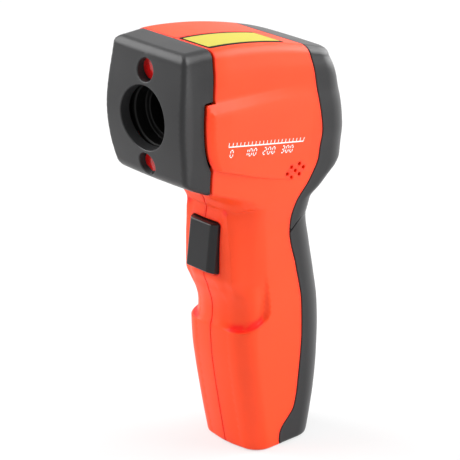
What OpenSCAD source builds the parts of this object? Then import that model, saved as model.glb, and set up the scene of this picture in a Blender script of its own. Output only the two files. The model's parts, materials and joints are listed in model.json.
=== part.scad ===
// Pistol-grip infrared thermometer with two aiming lasers.
// +X is the aiming direction, +Y the left hand side, +Z up, and the grip stands on z = 0.

/* [Outline] */
// Height of the crown above the base; the other heights grow with it
head_top = 145.5; // [143:0.5:150]
// Height of the aiming axis, drawn for a crown at 145.5
axis_height = 122.5; // [121:0.5:124]
// Foremost point of the nose
nose_x = 38; // [37:0.5:40]
// How far the nose face curves back at its upper and lower edge
nose_bulge = 2.3; // [1:0.1:3]
// Rearmost point of the head
tail_x = -38; // [-40:0.5:-37]
// Drop of the crown from the nose to the display
crown_fall = 9.7; // [8:0.1:11]
// Width of the head at the aiming axis
head_w = 37; // [36:0.2:40]
// Width of the grip
grip_w = 29.6; // [28.6:0.2:32]
// Front edge of the grip at the base
base_front = 4.1; // [4:0.1:6]
// Rear edge of the grip at the base
base_rear = -25; // [-27:0.5:-24.5]
// Wall of the mouldings
wall = 2; // [1.6:0.1:2.4]
// Radius along the top edges
crown_r = 3.2; // [2.5:0.1:4.5]
// Gap at a fixed seam between two mouldings
seam = 0.1; // [0.05:0.01:0.2]

/* [Side panels] */
// Height of the raised side panel above the housing, at its front
panel_lift = 1.2; // [0.6:0.1:1.6]
// Height of the upper edge of the side panel, drawn for a crown at 145.5
panel_height = 128.8; // [127:0.2:131]
// Diameter of a sounder hole
sounder_hole_d = 1.3; // [1:0.1:1.6]

/* [Nose] */
// Seam between the nose bezel and the housing
nose_seam_x = 24; // [23.5:0.5:25]
// Diameter of the sight aperture, drawn for a crown at 145.5
aperture_size = 21; // [20:0.2:21.4]
// Distance of each laser from the aiming axis, drawn for a crown at 145.5
laser_reach = 15.4; // [15.2:0.1:16]
// Diameter of a laser port, drawn for a crown at 145.5
laser_port_size = 7.4; // [6.6:0.1:7.6]
// Diameter of a laser module
laser_d = 6.5; // [5.6:0.1:6.8]
// Length of a laser module
laser_len = 16; // [12:0.5:16.5]

/* [Optics] */
// How much wider the optic tube is than the sight aperture
tube_over = 1.6; // [1:0.1:1.6]
// Wall of the optic tube at its mouth
tube_wall = 1.6; // [1.2:0.1:2]
// Diameter of the lens
lens_d = 11.4; // [10:0.2:12]
// Thickness of the lens
lens_t = 1.5; // [1.2:0.1:2]
// Diameter of the sensor can
sensor_d = 9.1; // [8:0.1:9.2]
// Thickness of every circuit board
board_t = 1.6; // [1:0.1:2]

/* [Trigger] */
// Width of the trigger
trigger_w = 13; // [11:0.5:14]
// Height of the trigger
trigger_h = 16; // [15:0.5:17]
// Height of the middle of the trigger above the battery, drawn for a crown at 145.5
trigger_rise = 12.4; // [12:0.2:13]
// Travel of the trigger
trigger_travel = 2.5; // [1.5:0.1:2.6]
// Sliding gap round the trigger
trigger_gap = 0.35; // [0.25:0.05:0.5]
// Outside diameter of the trigger spring
spring_d = 5; // [4:0.1:5.5]
// Wire of the trigger spring
spring_wire = 0.6; // [0.4:0.05:0.7]
// Coils of the trigger spring
spring_turns = 5; // [3:1:5]

/* [Battery and door] */
// Battery size along X and Y
battery_foot = [26.5, 17.5]; // [15:0.5:28]
// Length of the battery, drawn for a crown at 145.5
battery_length = 48.5; // [46:0.5:49]
// Height of the battery above the base, drawn for a crown at 145.5
battery_height = 13.5; // [13:0.1:14]
// Height of the upper edge of the battery door, drawn for a crown at 145.5
door_height = 75.5; // [74:0.5:77]
// Gap round the battery door
door_gap = 0.4; // [0.3:0.05:0.6]
// Distance of the hinge pin behind the middle of the part
hinge_x = -14; // [-14.2:0.1:-13.8]
// Height of the hinge pin above the base
hinge_z = 2.8; // [2.7:0.1:3]
// Diameter of the hinge pin
pin_d = 2.4; // [2:0.1:2.8]
// Running clearance of the door on its pin, on the radius
pin_play = 0.06; // [0.03:0.01:0.1]

/* [Display and keys] */
// Lean of the display face
display_tilt = 14; // [13:0.5:15]
// Distance of the display window from the sides of the head
window_inset = 8; // [8:0.2:10]
// Height of the display window, drawn for a crown at 145.5
window_h = 14; // [10:0.5:14]
// Width of a key
key_w = 6; // [4:0.2:6.4]
// Height of a key, drawn for a crown at 145.5
key_h = 5; // [4:0.2:5]
// Distance between neighbouring keys
key_pitch = 7.8; // [7.6:0.1:8]
// Height of a key cap above the display face
key_proud = 0.7; // [0.6:0.1:1]
// Travel of a key
key_travel = 0.5; // [0.3:0.05:0.6]
// Sliding gap round a key
key_gap = 0.3; // [0.2:0.05:0.4]

/* [Screws] */
// Diameter of the housing screws
screw_d = 2.5; // [2.2:0.1:2.6]
// Diameter of the housing screw heads
screw_head_d = 4.6; // [4:0.1:4.8]

/* [Hidden] */
$fn = 48;

orange = [0.93, 0.25, 0.12];
charcoal = [0.16, 0.16, 0.17];
board_green = [0.05, 0.3, 0.16];
steel = [0.72, 0.72, 0.74];
brass = [0.78, 0.6, 0.28];

// Sizes drawn for a crown at 145.5 grow with the height.
function grown(v) = v * head_top / 145.5;
function grown_line(p) = [for (q = p) [grown(q[0]), q[1]]];
axis_z = grown(axis_height);
chin_z = axis_z - grown(20);
panel_top = grown(panel_height);
door_top = grown(door_height);
battery_z = grown(battery_height);
battery_size = [battery_foot[0], battery_foot[1], grown(battery_length)];
trigger_z = battery_z + battery_size[2] + grown(trigger_rise);
aperture_d = grown(aperture_size);
laser_offset = grown(laser_reach);
laser_port_d = grown(laser_port_size);
tube_d = aperture_d + tube_over;
window_size = [head_w - 2 * window_inset, grown(window_h)];
key_size = [key_w, grown(key_h)];

// The outline lines give a place at each height, and a smooth curve passes through them.
// Front of the body, from the base up the grip, round the chin and over the nose face.
front_line = concat(
    grown_line([[0, base_front], [14, base_front + 2.6], [27, base_front + 4.8], [37, base_front + 6.1],
        [44.5, base_front + 6.4], [47.5, base_front + 5.6], [51, base_front + 5.4],
        [54.5, base_front + 5.9], [59, base_front + 7.8], [63.5, base_front + 9.7],
        [74, base_front + 9.5], [84, base_front + 8.7], [87, base_front + 8.2]]),
    [for (p = [[-12.5, base_front + 8.8], [-5, nose_x - 13], [-1.2, nose_x - 5.6], [0.4, nose_x - 3.4],
        [2.4, nose_x - nose_bulge]]) [chin_z + grown(p[0]), p[1]]],
    [[axis_z, nose_x], [head_top - crown_r, nose_x - nose_bulge]]);
// Back of the body, from the base up the grip, through the waist and over the display.
rear_line = concat(
    grown_line([[0, base_rear], [8.5, base_rear - 1.8], [17, base_rear - 3.5], [28, base_rear - 4.8],
        [39, base_rear - 5.3], [47, base_rear - 5], [58, base_rear - 3.3], [69, base_rear - 0.9],
        [79, base_rear + 0.9], [82.5, base_rear + 0.2], [85.6, tail_x + 12.6], [89, tail_x + 8.4],
        [92, tail_x + 5], [94.5, tail_x + 2], [97, tail_x + 0.5], [104, tail_x], [114, tail_x + 0.8],
        [124, tail_x + 2.2], [133, tail_x + 4.2], [139, tail_x + 6.2]]),
    [[head_top - crown_r, tail_x + 7.8]]);
// Half width of the body.
width_line = concat(
    grown_line([[0, grip_w / 2 - 0.9], [10, grip_w / 2 - 0.5], [44, grip_w / 2], [60, grip_w / 2 - 0.4],
        [78, grip_w / 2 - 0.2], [90, (grip_w + head_w) / 4 - 0.4]]),
    [[chin_z, head_w / 2 - 1.7], [axis_z - grown(10.5), head_w / 2 - 0.4], [axis_z, head_w / 2],
        [axis_z + grown(10.5), head_w / 2 - 0.4], [head_top - crown_r, head_w / 2 - 1.1]]);
// Corner radius and crown of the front, seen from above.
front_round = grown_line([[0, 5], [44, 7], [54, 8], [63, 11], [86, 11], [92, 7], [98, 3], [103, 1.6],
    [145.5, 1.6]]);
front_sag = grown_line([[0, 2], [44, 2.2], [84, 1.5], [96, 0.8], [104, 0.5], [145.5, 0.5]]);
// Corner radius and crown of the back, seen from above.
rear_round = grown_line([[0, 9], [44, 11], [78, 9.5], [92, 9.5], [104, 10], [145.5, 9]]);
rear_sag = grown_line([[0, 2], [44, 3], [78, 2.5], [100, 2], [145.5, 2]]);
// Seam between the housing and the dark back of the body, seen from the side. Its foot runs round the hinge.
spine_line = grown_line([[0, -7.9], [2.1, -7.45], [4.2, -7.6], [6.1, -8.3], [7.9, -9.8], [8.8, -10.75],
    [10.5, -12.4], [11.4, -13.2], [12.4, -13.75], [14.4, -14.3], [17.8, -15], [21.3, -15.4], [25, -15.8],
    [32, -16.5], [39, -16.9], [50, -16.8], [63, -14.5], [76, -11.5], [80, -11.7], [86, -13.2],
    [93, -18.7], [100, -22.3], [107, -22.7], [120, -20.5], [137, -15.9], [145.5, -13.5]]);

// Monotone cubic curve through a list of [place, value] pairs.
function rise(p, i) = (p[i + 1][1] - p[i][1]) / (p[i + 1][0] - p[i][0]);
function mean_rise(a, b) = a * b <= 0 ? 0 : 2 * a * b / (a + b);
function slope(p, i) =
    i == 0 ? rise(p, 0) : i == len(p) - 1 ? rise(p, i - 1) : mean_rise(rise(p, i - 1), rise(p, i));
function span(p, z, i = 0) = i >= len(p) - 2 || z < p[i + 1][0] ? i : span(p, z, i + 1);
function hermite(p, i, u) =
    let (h = p[i + 1][0] - p[i][0])
    p[i][1] * (1 - u) ^ 2 * (1 + 2 * u) + slope(p, i) * h * u * (1 - u) ^ 2
    + p[i + 1][1] * u ^ 2 * (3 - 2 * u) - slope(p, i + 1) * h * u ^ 2 * (1 - u);
function curve(p, z) =
    z <= p[0][0] ? p[0][1]
    : z >= p[len(p) - 1][0] ? p[len(p) - 1][1]
    : let (i = span(p, z)) hermite(p, i, (z - p[i][0]) / (p[i + 1][0] - p[i][0]));

// Outline lines moved inward by t, square to the skin.
function front_at(z, t) = min([for (a = [-90:30:90]) curve(front_line, z + t * sin(a)) - t * cos(a)]);
function rear_at(z, t) = max([for (a = [-90:30:90]) curve(rear_line, z + t * sin(a)) + t * cos(a)]);
function spine(z) = curve(spine_line, z);

// The crown falls towards the back, and the layers of the head lean with it.
crown_peak_x = nose_x - 11;
crown_back_x = tail_x + 12.5;
lean_z = grown(100);
function crown(x) =
    head_top - crown_fall * (max(0, crown_peak_x - x) / (crown_peak_x - crown_back_x)) ^ 1.8;
function lean(z, x) =
    z <= lean_z ? z : lean_z + (z - lean_z) * (crown(x) - lean_z) / (head_top - lean_z);

// One half of a level section, from the middle of the front to the middle of the back.
function half_section(z, t, n) =
    let (xf = front_at(z, t), xr = rear_at(z, t), w = curve(width_line, z) - t,
        rf = max(curve(front_round, z) - t, 0.6), rr = max(curve(rear_round, z) - t, 0.8),
        sf = curve(front_sag, z), sr = curve(rear_sag, z),
        cf = xf - sf * ((w - rf) / w) ^ 2 - rf, cr = xr + sr * ((w - rr) / w) ^ 2 + rr)
    concat([for (i = [0:n - 1]) let (y = (w - rf) * i / n) [xf - sf * (y / w) ^ 2, y]],
        [for (i = [0:n]) let (q = 90 * i / (n + 1)) [cf + rf * cos(q), w - rf + rf * sin(q)]],
        [for (i = [0:n]) [cf + (cr - cf) * i / (n + 1), w]],
        [for (i = [0:n + 1]) let (q = 90 * i / (n + 2)) [cr - rr * sin(q), w - rr + rr * cos(q)]],
        [for (i = [0:n]) let (y = (w - rr) * (1 - i / n)) [xr + sr * (y / w) ^ 2, y]]);
function ring(z, t, lift, n) =
    let (half = half_section(z, t, n), last = len(half) - 1)
    [for (p = concat(half, [for (i = [last - 1:-1:1]) [half[i][0], -half[i][1]]]))
        [p[0], p[1] + sign(p[1]) * lift * panel_rise(p[0]), lean(z, p[0])]];
// The side panel stands highest behind the nose and runs out towards the back.
function panel_rise(x) = panel_lift * min(1, max(0, (x + 18) / (nose_seam_x + 12)));

// Levels of the skin, with closely spaced ones where an edge is rounded.
base_r = 1;
edge_steps = [0, 30, 60, 90];
skin_levels = concat(
    [for (z = concat([for (z = [6:8:38]) z], [44, 46.5, 49, 52, 55.5, 59, 62.5, 68, 76, 83, 87])) grown(z)],
    [for (d = [-12.5, -10, -7.5, -5, -3, -1.2, 0.4, 2.4]) chin_z + grown(d)],
    [for (d = [-12, -6, 0, 6, 12]) axis_z + grown(d)]);
cavity_levels = concat([for (z = concat([for (z = [10:12:46]) z], [54, 62, 76, 87])) grown(z)],
    [for (d = [-11.5, -8, -5, -2, 0.5, 3.5]) chin_z + grown(d)], [for (d = [-10, 0, 10]) axis_z + grown(d)]);

// Solid of the whole body, moved inward by t; lift raises the sides to the level of the panels.
module body(t = 0, lift = 0, coarse = false) {
    rt = max(crown_r - t, 0.6);
    rb = max(base_r - t, 0.3);
    top = head_top - t;
    n = coarse ? 2 : 4;
    levels = concat(
        [for (a = edge_steps) [t + rb * (1 - cos(a)), rb * (1 - sin(a))]],
        [for (z = coarse ? cavity_levels : skin_levels) if (z > t + rb) [z, 0]],
        [for (a = edge_steps) [top - rt + rt * sin(a), rt * (1 - cos(a))]]);
    rings = [for (l = levels) ring(l[0], t + l[1], lift, n)];
    m = len(rings[0]);
    last = len(rings) - 1;
    sides = [for (l = [0:last - 1], k = [0:m - 1])
        let (a = l * m + k, b = l * m + (k + 1) % m) each [[a, a + m, b + m], [a, b + m, b]]];
    cap = [for (k = [0:m / 2 - 1]) each [[k, k + 1, m - k - 1], [k, m - k - 1, (m - k) % m]]];
    floor_faces = [for (f = cap) if (f[0] != f[2] && f[1] != f[2]) f];
    roof_faces = [for (f = floor_faces) [for (i = [2:-1:0]) f[i] + last * m]];
    polyhedron([for (r = rings) each r], concat(sides, floor_faces, roof_faces));
}

// Places in a side view are drawn as [x, z] and given a width from y0 to y1.
module slab(y0, y1) {
    rotate([90, 0, 0])
    translate([0, 0, -y1])
    linear_extrude(y1 - y0)
    children();
}
module block(from, to) {
    translate(from)
    cube(to - from);
}
// Round bar along X, from x0 to x1, on the line at height z.
module bar_x(x0, x1, d, z = axis_z, y = 0) {
    translate([x0, y, z])
    rotate([0, 90, 0])
    cylinder(d = d, h = x1 - x0);
}
// Round bar along Y, from y0 to y1.
module bar_y(y0, y1, d, at) {
    translate([at[0], y0, at[1]])
    rotate([-90, 0, 0])
    cylinder(d = d, h = y1 - y0);
}
far = 200;

// Side views of the seams
module panel_outline() {
    front = [[3.6, panel_top], [4.1, axis_z - grown(0.5)], [3.7, axis_z - grown(7)],
        [2.5, axis_z - grown(12.2)], [0.5, axis_z - grown(16)]];
    low = [[16, 19.3], [5.4, 23.3], [-5.4, 26.7], [-17, 29.8], [-26, 31.6]];
    polygon(concat([for (p = front) [nose_seam_x + p[0], p[1]]],
        [for (p = low) [p[0], axis_z - grown(p[1])]], [[-26, panel_top - grown(2.7)]]));
}
module behind_spine(gap = 0) {
    levels = concat([-3], [for (z = [0:1.4:18]) grown(z)], [for (z = [22:5:152]) grown(z)]);
    polygon(concat([for (z = levels) [spine(z) - gap, z]], [[-far, far], [-far, -3]]));
}
module nose_side() {
    translate([nose_seam_x, -far / 2])
    square([far, 2 * far]);
}
module above(z) {
    translate([-far, z])
    square([2 * far, far]);
}
module housing_side() {
    difference() {
        union() {
            difference() {
                translate([-far, -far / 2])
                square(2 * far);
                nose_side();
            }
            panel_outline();
        }
        behind_spine();
    }
}

// Screw places in the side view, clear of the optics, the battery and the trigger.
boss_places = [[-3.5, axis_z + grown(12.5)], [8.5, axis_z - grown(27)], [-5, trigger_z + grown(5.5)],
    [0.8, grown(9.4)]];
boss_d = screw_d + 3;
// The sounder lies against the left wall, behind its holes.
sounder_at = [-11.7, axis_z - grown(25)];
sounder_d = 13;
sounder_t = 3;
sounder_y = curve(width_line, sounder_at[1] - sounder_d / 2) - wall - sounder_t - 0.1;

// Trigger tunnel and what slides in it
tunnel_wall = 1.2;
flange_w = trigger_w + 2.4;
flange_h = trigger_h + 3;
flange_t = 1.8;
// How far the inside of the front falls back at y, beside its middle.
function front_fall(z, y) =
    let (w = curve(width_line, z) - wall, r = curve(front_round, z) - wall, c = max(0, y - (w - r)))
    r - sqrt(r ^ 2 - c ^ 2) + curve(front_sag, z) * (min(y, w - r) / w) ^ 2;
flange_gap = 0.4;
flange_x = min([for (k = [-0.5, 0, 0.5]) let (z = trigger_z + k * flange_h)
    front_at(z, wall) - front_fall(z, flange_w / 2)]) - flange_gap - flange_t;
trigger_board_x = flange_x - 6 - board_t;
tunnel_back_x = trigger_board_x - tunnel_wall;
module tunnel_box(extra, x0, x1) {
    block([x0, -flange_w / 2 - extra, trigger_z - flange_h / 2 - extra],
        [x1, flange_w / 2 + extra, trigger_z + flange_h / 2 + extra]);
}
module trigger_window() {
    half = trigger_w / 2 + trigger_gap;
    block([flange_x, -half, trigger_z - trigger_h / 2 - trigger_gap],
        [nose_x, half, trigger_z + trigger_h / 2 + trigger_gap]);
}

// Faceted moulding of one side: the skin, the raised panel and what is moulded inside it.
module housing_moulding(left) {
    intersection() {
        union() {
            difference() {
                union() {
                    difference() {
                        intersection() {
                            body(0);
                            slab(-far, far)
                            housing_side();
                        }
                        body(wall, coarse = true);
                    }
                    side_panels();
                }
                finger_hollows();
                trigger_window();
            }
            intersection() {
                body(wall / 2, coarse = true);
                inner_ribs();
            }
        }
        difference() {
            block([-far, left ? seam / 2 : -far, -1], [far, left ? far : -seam / 2, far]);
            if (left)
                left_holes();
            else
                right_holes();
        }
    }
}
// Pilot holes for the screws, and the holes in front of the sounder
module left_holes() {
    for (at = boss_places)
        bar_y(-1, screw_bite, screw_d - 0.3, at, $fn = 16);
    for (p = sounder_holes)
        bar_y(sounder_y, far, sounder_hole_d, sounder_at + p, $fn = 8);
}
// Through holes for the screws, with a well for each head
module right_holes() {
    for (at = boss_places) {
        bar_y(-far, 1, screw_d + 0.3, at, $fn = 16);
        bar_y(-far, -screw_seat(at), screw_head_d + 0.4, at, $fn = 24);
    }
}
module side_panels() {
    bevel = 0.93;
    middle = [1, axis_z - grown(12)];
    difference() {
        intersection() {
            body(0, lift = 1);
            for (s = [-1, 1])
                translate([middle[0], s * (head_w / 2 - 2.2), middle[1]])
                rotate([90, 0, s > 0 ? 180 : 0])
                mirror([s > 0 ? 1 : 0, 0])
                linear_extrude(panel_lift + 2.6, scale = bevel)
                translate(-middle)
                panel_outline();
            slab(-far, far)
            difference() {
                translate([-far, 0])
                square(2 * far);
                behind_spine();
            }
        }
        body(0.4, coarse = true);
    }
}
// Shallow hollow for the finger on each side, with a lip at its lower edge.
module finger_hollows() {
    for (s = [-1, 1])
        translate([base_front + 2, s * (grip_w / 2 + 0.9), grown(58)])
        scale([13, 2.8, grown(13.5)])
        sphere(1, $fn = 28);
}
module inner_ribs() {
    // Bosses for the screws that draw the two sides together
    for (at = boss_places)
        bar_y(-far, far, boss_d, at, $fn = 20);
    // Tunnel that guides the trigger, with a stop behind its board
    difference() {
        tunnel_box(trigger_gap + tunnel_wall, tunnel_back_x, nose_x);
        tunnel_box(trigger_gap, trigger_board_x, flange_x + flange_t + 0.4);
        tunnel_box(-1.5, trigger_board_x - far, trigger_board_x + 1);
        trigger_window();
    }
    // Shelf under the battery
    block([-9, -far, battery_z - 1.4], [base_front - 1, far, battery_z]);
    // Forks that hold the optics bracket
    for (x = [bracket_x - 1.5, bracket_x + bracket_t + 0.05], s = [-1, 1])
        block([x, s > 0 ? bracket_w / 2 - 2 : -far, axis_z - 8],
            [x + 1.45, s > 0 ? far : 2 - bracket_w / 2, axis_z + 8]);
    for (s = [-1, 1])
        block([bracket_x - 1, s > 0 ? bracket_w / 2 + 0.05 : -far, axis_z - 8],
            [bracket_x + bracket_t + 1, s > 0 ? far : -bracket_w / 2 - 0.05, axis_z + 8]);
}
module hinge_arm(y0, y1) {
    hull() {
        bar_y(y0, y1, 2 * arm_r, [hinge_x, hinge_z]);
        block([base_front - 6, y0, wall / 2], [base_front - 3, y1, wall + 5]);
    }
}
arm_r = hinge_z - 0.4;
arm_y = [4.5, 7.5];
lug_y = [8.2, 11];
lug_r = hinge_z - 0.2;

module housing(left) {
    difference() {
        union() {
            resize([0, 0, 0])
            housing_moulding(left);
            hinge_arm(left ? arm_y[0] : -arm_y[1], left ? arm_y[1] : -arm_y[0]);
        }
        bar_y(-far, far, pin_d, [hinge_x, hinge_z]);
    }
}
screw_bite = 7;
function boss_y(at) = curve(width_line, at[1]);
function screw_seat(at) = boss_y(at) - 4;
// Seven holes in rows of two, three and two.
hole_pitch = [3.6, 1.75];
sounder_holes = concat([for (i = [-1:1]) [i * hole_pitch[0], -i * 0.3]],
    [for (r = [-1, 1], i = [-0.5, 0.5]) [i * hole_pitch[0], r * hole_pitch[1] - i * 0.3]]);

module left_housing() {
    color(orange)
    housing(true);
}
module right_housing() {
    color(orange)
    housing(false);
}

// Nose
face_x = nose_x - 5.5;
lasers_z = [axis_z + laser_offset, axis_z - laser_offset];
module nose_bezel() {
    color(charcoal)
    difference() {
        resize([0, 0, 0])
        difference() {
            intersection() {
                body(0);
                slab(-far, far)
                difference() {
                    translate([seam, 0])
                    nose_side();
                    offset(delta = seam)
                    panel_outline();
                }
            }
            intersection() {
                body(wall, coarse = true);
                block([-far, -far, 0], [face_x, far, far]);
            }
        }
        bar_x(0, far, aperture_d);
        for (z = lasers_z)
            bar_x(0, far, laser_port_d, z);
    }
}

// Optics, from the mouth of the tube back to the sensor
bracket_t = 3;
bracket_w = head_w - 2 * wall - 3;
mouth_x = face_x - 0.05;
step_x = [mouth_x - 7, mouth_x - 14];
bracket_x = step_x[1] - bracket_t - 0.05;
lens_seat_x = mouth_x - 21;
ring_t = 1.5;
tail_tube_x = lens_seat_x - 14;
tube_mid_d = tube_d - 4;
tube_tail_d = tube_d - 6;
module optic_tube() {
    color(charcoal)
    difference() {
        union() {
            bar_x(step_x[0], mouth_x, tube_d);
            bar_x(step_x[1], mouth_x, tube_mid_d);
            bar_x(tail_tube_x, mouth_x, tube_tail_d);
        }
        bar_x(step_x[0] + tube_wall, far, tube_d - 2 * tube_wall);
        bar_x(step_x[1] + tube_wall, far, tube_mid_d - 2 * tube_wall);
        bar_x(lens_seat_x, far, lens_d + 0.1);
        bar_x(tail_tube_x - 1, far, lens_d - 1.8);
    }
}
module infrared_lens() {
    color("silver")
    bar_x(lens_seat_x, lens_seat_x + lens_t, lens_d);
}
module lens_ring() {
    color(charcoal)
    difference() {
        bar_x(lens_seat_x + lens_t, lens_seat_x + lens_t + ring_t, lens_d);
        bar_x(0, far, lens_d - 1.8);
    }
}
module thermopile_sensor() {
    color(steel)
    union() {
        bar_x(tail_tube_x, tail_tube_x + 1, sensor_d + 0.4);
        bar_x(tail_tube_x, tail_tube_x + 4.5, sensor_d - 0.9);
    }
}
module sensor_board() {
    half = tube_tail_d / 2 + 1.2;
    color(board_green)
    block([tail_tube_x - board_t, -half, axis_z - half], [tail_tube_x, half, axis_z + half]);
}
module optics_bracket() {
    half_h = laser_offset + laser_d / 2 + 1.2;
    color(charcoal)
    difference() {
        slab(-bracket_w / 2, bracket_w / 2)
        translate([bracket_x, axis_z - half_h])
        square([bracket_t, 2 * half_h]);
        bar_x(0, far, tube_tail_d + 0.1);
        for (z = lasers_z)
            bar_x(0, far, laser_d + 0.1, z);
        for (s = [-1, 1], t = [-1, 1])
            block([bracket_x - 1, s * bracket_w / 2 - 6, axis_z + t * half_h - 8],
                [bracket_x + bracket_t + 1, s * bracket_w / 2 + 6, axis_z + t * half_h + 8]);
    }
}
window_t = 1;
module laser_at(z) {
    translate([0, 0, z - axis_z])
    color(brass)
    difference() {
        bar_x(face_x - window_t - 0.1 - laser_len, face_x - window_t - 0.1, laser_d);
        bar_x(face_x - window_t - 2, far, laser_d - 3);
    }
}
module laser_window_at(z) {
    color("red")
    bar_x(face_x + 0.2, face_x + 0.2 + window_t, laser_port_d - 0.1, z);
}
module upper_laser() {
    laser_at(lasers_z[0]);
}
module lower_laser() {
    laser_at(lasers_z[1]);
}
module upper_laser_window() {
    laser_window_at(lasers_z[0]);
}
module lower_laser_window() {
    laser_window_at(lasers_z[1]);
}

// Display face: a leaning frame whose X runs into the head and whose Z runs up the face.
display_at = [tail_x + 3.4, 0, axis_z - grown(6.5)];
function display_place(x, z) =
    [display_at[0] + x * cos(display_tilt) + z * sin(display_tilt),
        display_at[2] - x * sin(display_tilt) + z * cos(display_tilt)];
module display_frame_place() {
    translate(display_at)
    rotate([0, display_tilt, 0])
    children();
}
// Layers behind the face, measured along the leaning X.
face_t = 2.4;
window_depth = 1.4;
window_z = grown(4.5);
keys_z = -grown(8.5);
glass_x = face_t + 0.1;
glass_t = 2.6;
frame_t = 3.6;
board_x = glass_x + glass_t + frame_t;
glass_size = window_size + [1.6, 2];
frame_size = glass_size + [1, 1];
main_board_size = [frame_size[0] + 1.6, grown(29)];
module leaf(x0, x1, size, y = 0, z = 0) {
    block([x0, y - size[0] / 2, z - size[1] / 2], [x1, y + size[0] / 2, z + size[1] / 2]);
}
keys_y = [-key_pitch, 0, key_pitch];
board_screw_places = [for (s = [-1, 1]) [s * key_pitch / 2, -grown(13.3)]];
board_post_d = 3.6;
board_screw_d = 1.6;

module rear_cover() {
    color(charcoal)
    difference() {
        union() {
            resize([0, 0, 0])
            rear_cover_moulding();
            display_frame_place()
            for (p = board_screw_places)
                translate([face_t - 1, p[0], p[1]])
                rotate([0, 90, 0])
                cylinder(d = board_post_d, h = board_x - face_t + 1 - 0.05);
        }
        display_frame_place()
        for (p = board_screw_places)
            translate([face_t - 0.4, p[0], p[1]])
            rotate([0, 90, 0])
            cylinder(d = board_screw_d, h = far);
    }
}
module rear_cover_moulding() {
    difference() {
        intersection() {
            union() {
                difference() {
                    body(0);
                    body(wall, coarse = true);
                }
                intersection() {
                    body(0.3);
                    display_frame_place()
                    union() {
                        leaf(0, face_t, [far, 36]);
                        // Rails that carry the edges of the board
                        for (s = [-1, 1])
                            leaf(0, board_x - 0.05, [far, 10], s * (far / 2 + frame_size[0] / 2 + 0.2), 4);
                    }
                }
            }
            slab(-far, far)
            intersection() {
                behind_spine(seam);
                above(door_top);
            }
        }
        display_frame_place() {
            leaf(-far, 0, [far, far]);
            leaf(-1, window_depth + 0.1, window_size + [0.2, 0.2], 0, window_z);
            leaf(-1, far / 10, window_size - [2.4, 2.4], 0, window_z);
            for (y = keys_y)
                leaf(-1, face_t + 1, key_size + [2 * key_gap, 2 * key_gap], y, keys_z);
        }
    }
}
module display_window() {
    color([0.75, 0.8, 0.82, 0.6])
    display_frame_place()
    leaf(0.1, window_depth, window_size, 0, window_z);
}
module display_glass() {
    color([0.6, 0.66, 0.58])
    display_frame_place()
    leaf(glass_x, glass_x + glass_t, glass_size, 0, window_z);
}
module display_frame() {
    color("white")
    display_frame_place()
    difference() {
        leaf(glass_x - 0.05, board_x - 0.05, frame_size, 0, window_z);
        leaf(glass_x - 1, glass_x + glass_t, glass_size + [0.1, 0.1], 0, window_z);
        leaf(glass_x, far, glass_size - [4, 4], 0, window_z);
    }
}
module main_board() {
    color(board_green)
    display_frame_place()
    difference() {
        leaf(board_x, board_x + board_t, main_board_size);
        for (p = board_screw_places)
            translate([board_x - 1, p[0], p[1]])
            rotate([0, 90, 0])
            cylinder(d = board_screw_d + 0.3, h = board_t + 2);
    }
}
module board_screws() {
    color(steel)
    display_frame_place()
    for (p = board_screw_places)
        translate([board_x + board_t, p[0], p[1]])
        rotate([0, 90, 0]) {
            cylinder(d = 3, h = 1.2);
            translate([0, 0, -board_t - 4])
            cylinder(d = board_screw_d, h = board_t + 4);
        }
}
switch_top_x = board_x - 3.2;
module key_switches() {
    color("black")
    display_frame_place()
    for (y = keys_y) {
        leaf(board_x - 2, board_x - 0.05, [5.4, 4.6], y, keys_z);
        translate([switch_top_x, y, keys_z])
        rotate([0, 90, 0])
        cylinder(d = 2.4, h = 1.6);
    }
}
module processor() {
    color("black")
    display_frame_place()
    leaf(board_x + board_t, board_x + board_t + 1.4, [11, 11], 0, 4);
}
// A key cap stands on a rim that keeps it in, and rests on its switch.
module key(y) {
    rim = key_size + [0.4, 0.6];
    color(charcoal)
    display_frame_place()
    union() {
        leaf(-key_proud, face_t + key_gap + 0.2, key_size, y, keys_z);
        leaf(face_t + key_gap / 2, face_t + key_gap / 2 + 1, rim, y, keys_z);
        leaf(face_t, switch_top_x - key_travel - 0.05, [3, 3], y, keys_z);
    }
}
module up_key() {
    key(keys_y[0]);
}
module mode_key() {
    key(keys_y[1]);
}
module down_key() {
    key(keys_y[2]);
}

// Battery door
module battery_door() {
    color(charcoal)
    difference() {
        union() {
            resize([0, 0, 0])
            battery_door_moulding();
            for (s = [-1, 1])
                door_lug(s > 0 ? lug_y[0] : -lug_y[1], s > 0 ? lug_y[1] : -lug_y[0]);
        }
        bar_y(-lug_y[1] - 0.5, lug_y[1] + 0.5, pin_d + 2 * pin_play, [hinge_x, hinge_z]);
    }
}
module door_side() {
    difference() {
        behind_spine(door_gap);
        above(door_top - door_gap);
    }
}
module battery_door_moulding() {
    difference() {
        union() {
            intersection() {
                body(0);
                slab(-far, far)
                door_side();
            }
        }
        body(wall, coarse = true);
        // Slots in the toe for the arms of the housing
        for (s = [-1, 1])
            block([hinge_x - 3, s * (arm_y[0] + arm_y[1]) / 2 - slot_w / 2, -1],
                [hinge_x + far, s * (arm_y[0] + arm_y[1]) / 2 + slot_w / 2, 2 * hinge_z]);
    }
}
slot_w = arm_y[1] - arm_y[0] + 0.8;
module door_lug(y0, y1) {
    hull() {
        bar_y(y0, y1, 2 * lug_r, [hinge_x, hinge_z]);
        block([hinge_x - 9, y0, wall / 2], [hinge_x - 6, y1, wall + 1.5]);
    }
}
module hinge_pin() {
    color(steel)
    bar_y(-lug_y[1], lug_y[1], pin_d, [hinge_x, hinge_z]);
}
module housing_screws() {
    color(steel)
    for (at = boss_places)
        union() {
            bar_y(-screw_seat(at) - 2, -screw_seat(at), screw_head_d, at);
            bar_y(-screw_seat(at), screw_bite - 1, screw_d - 0.3, at);
        }
}

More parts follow.
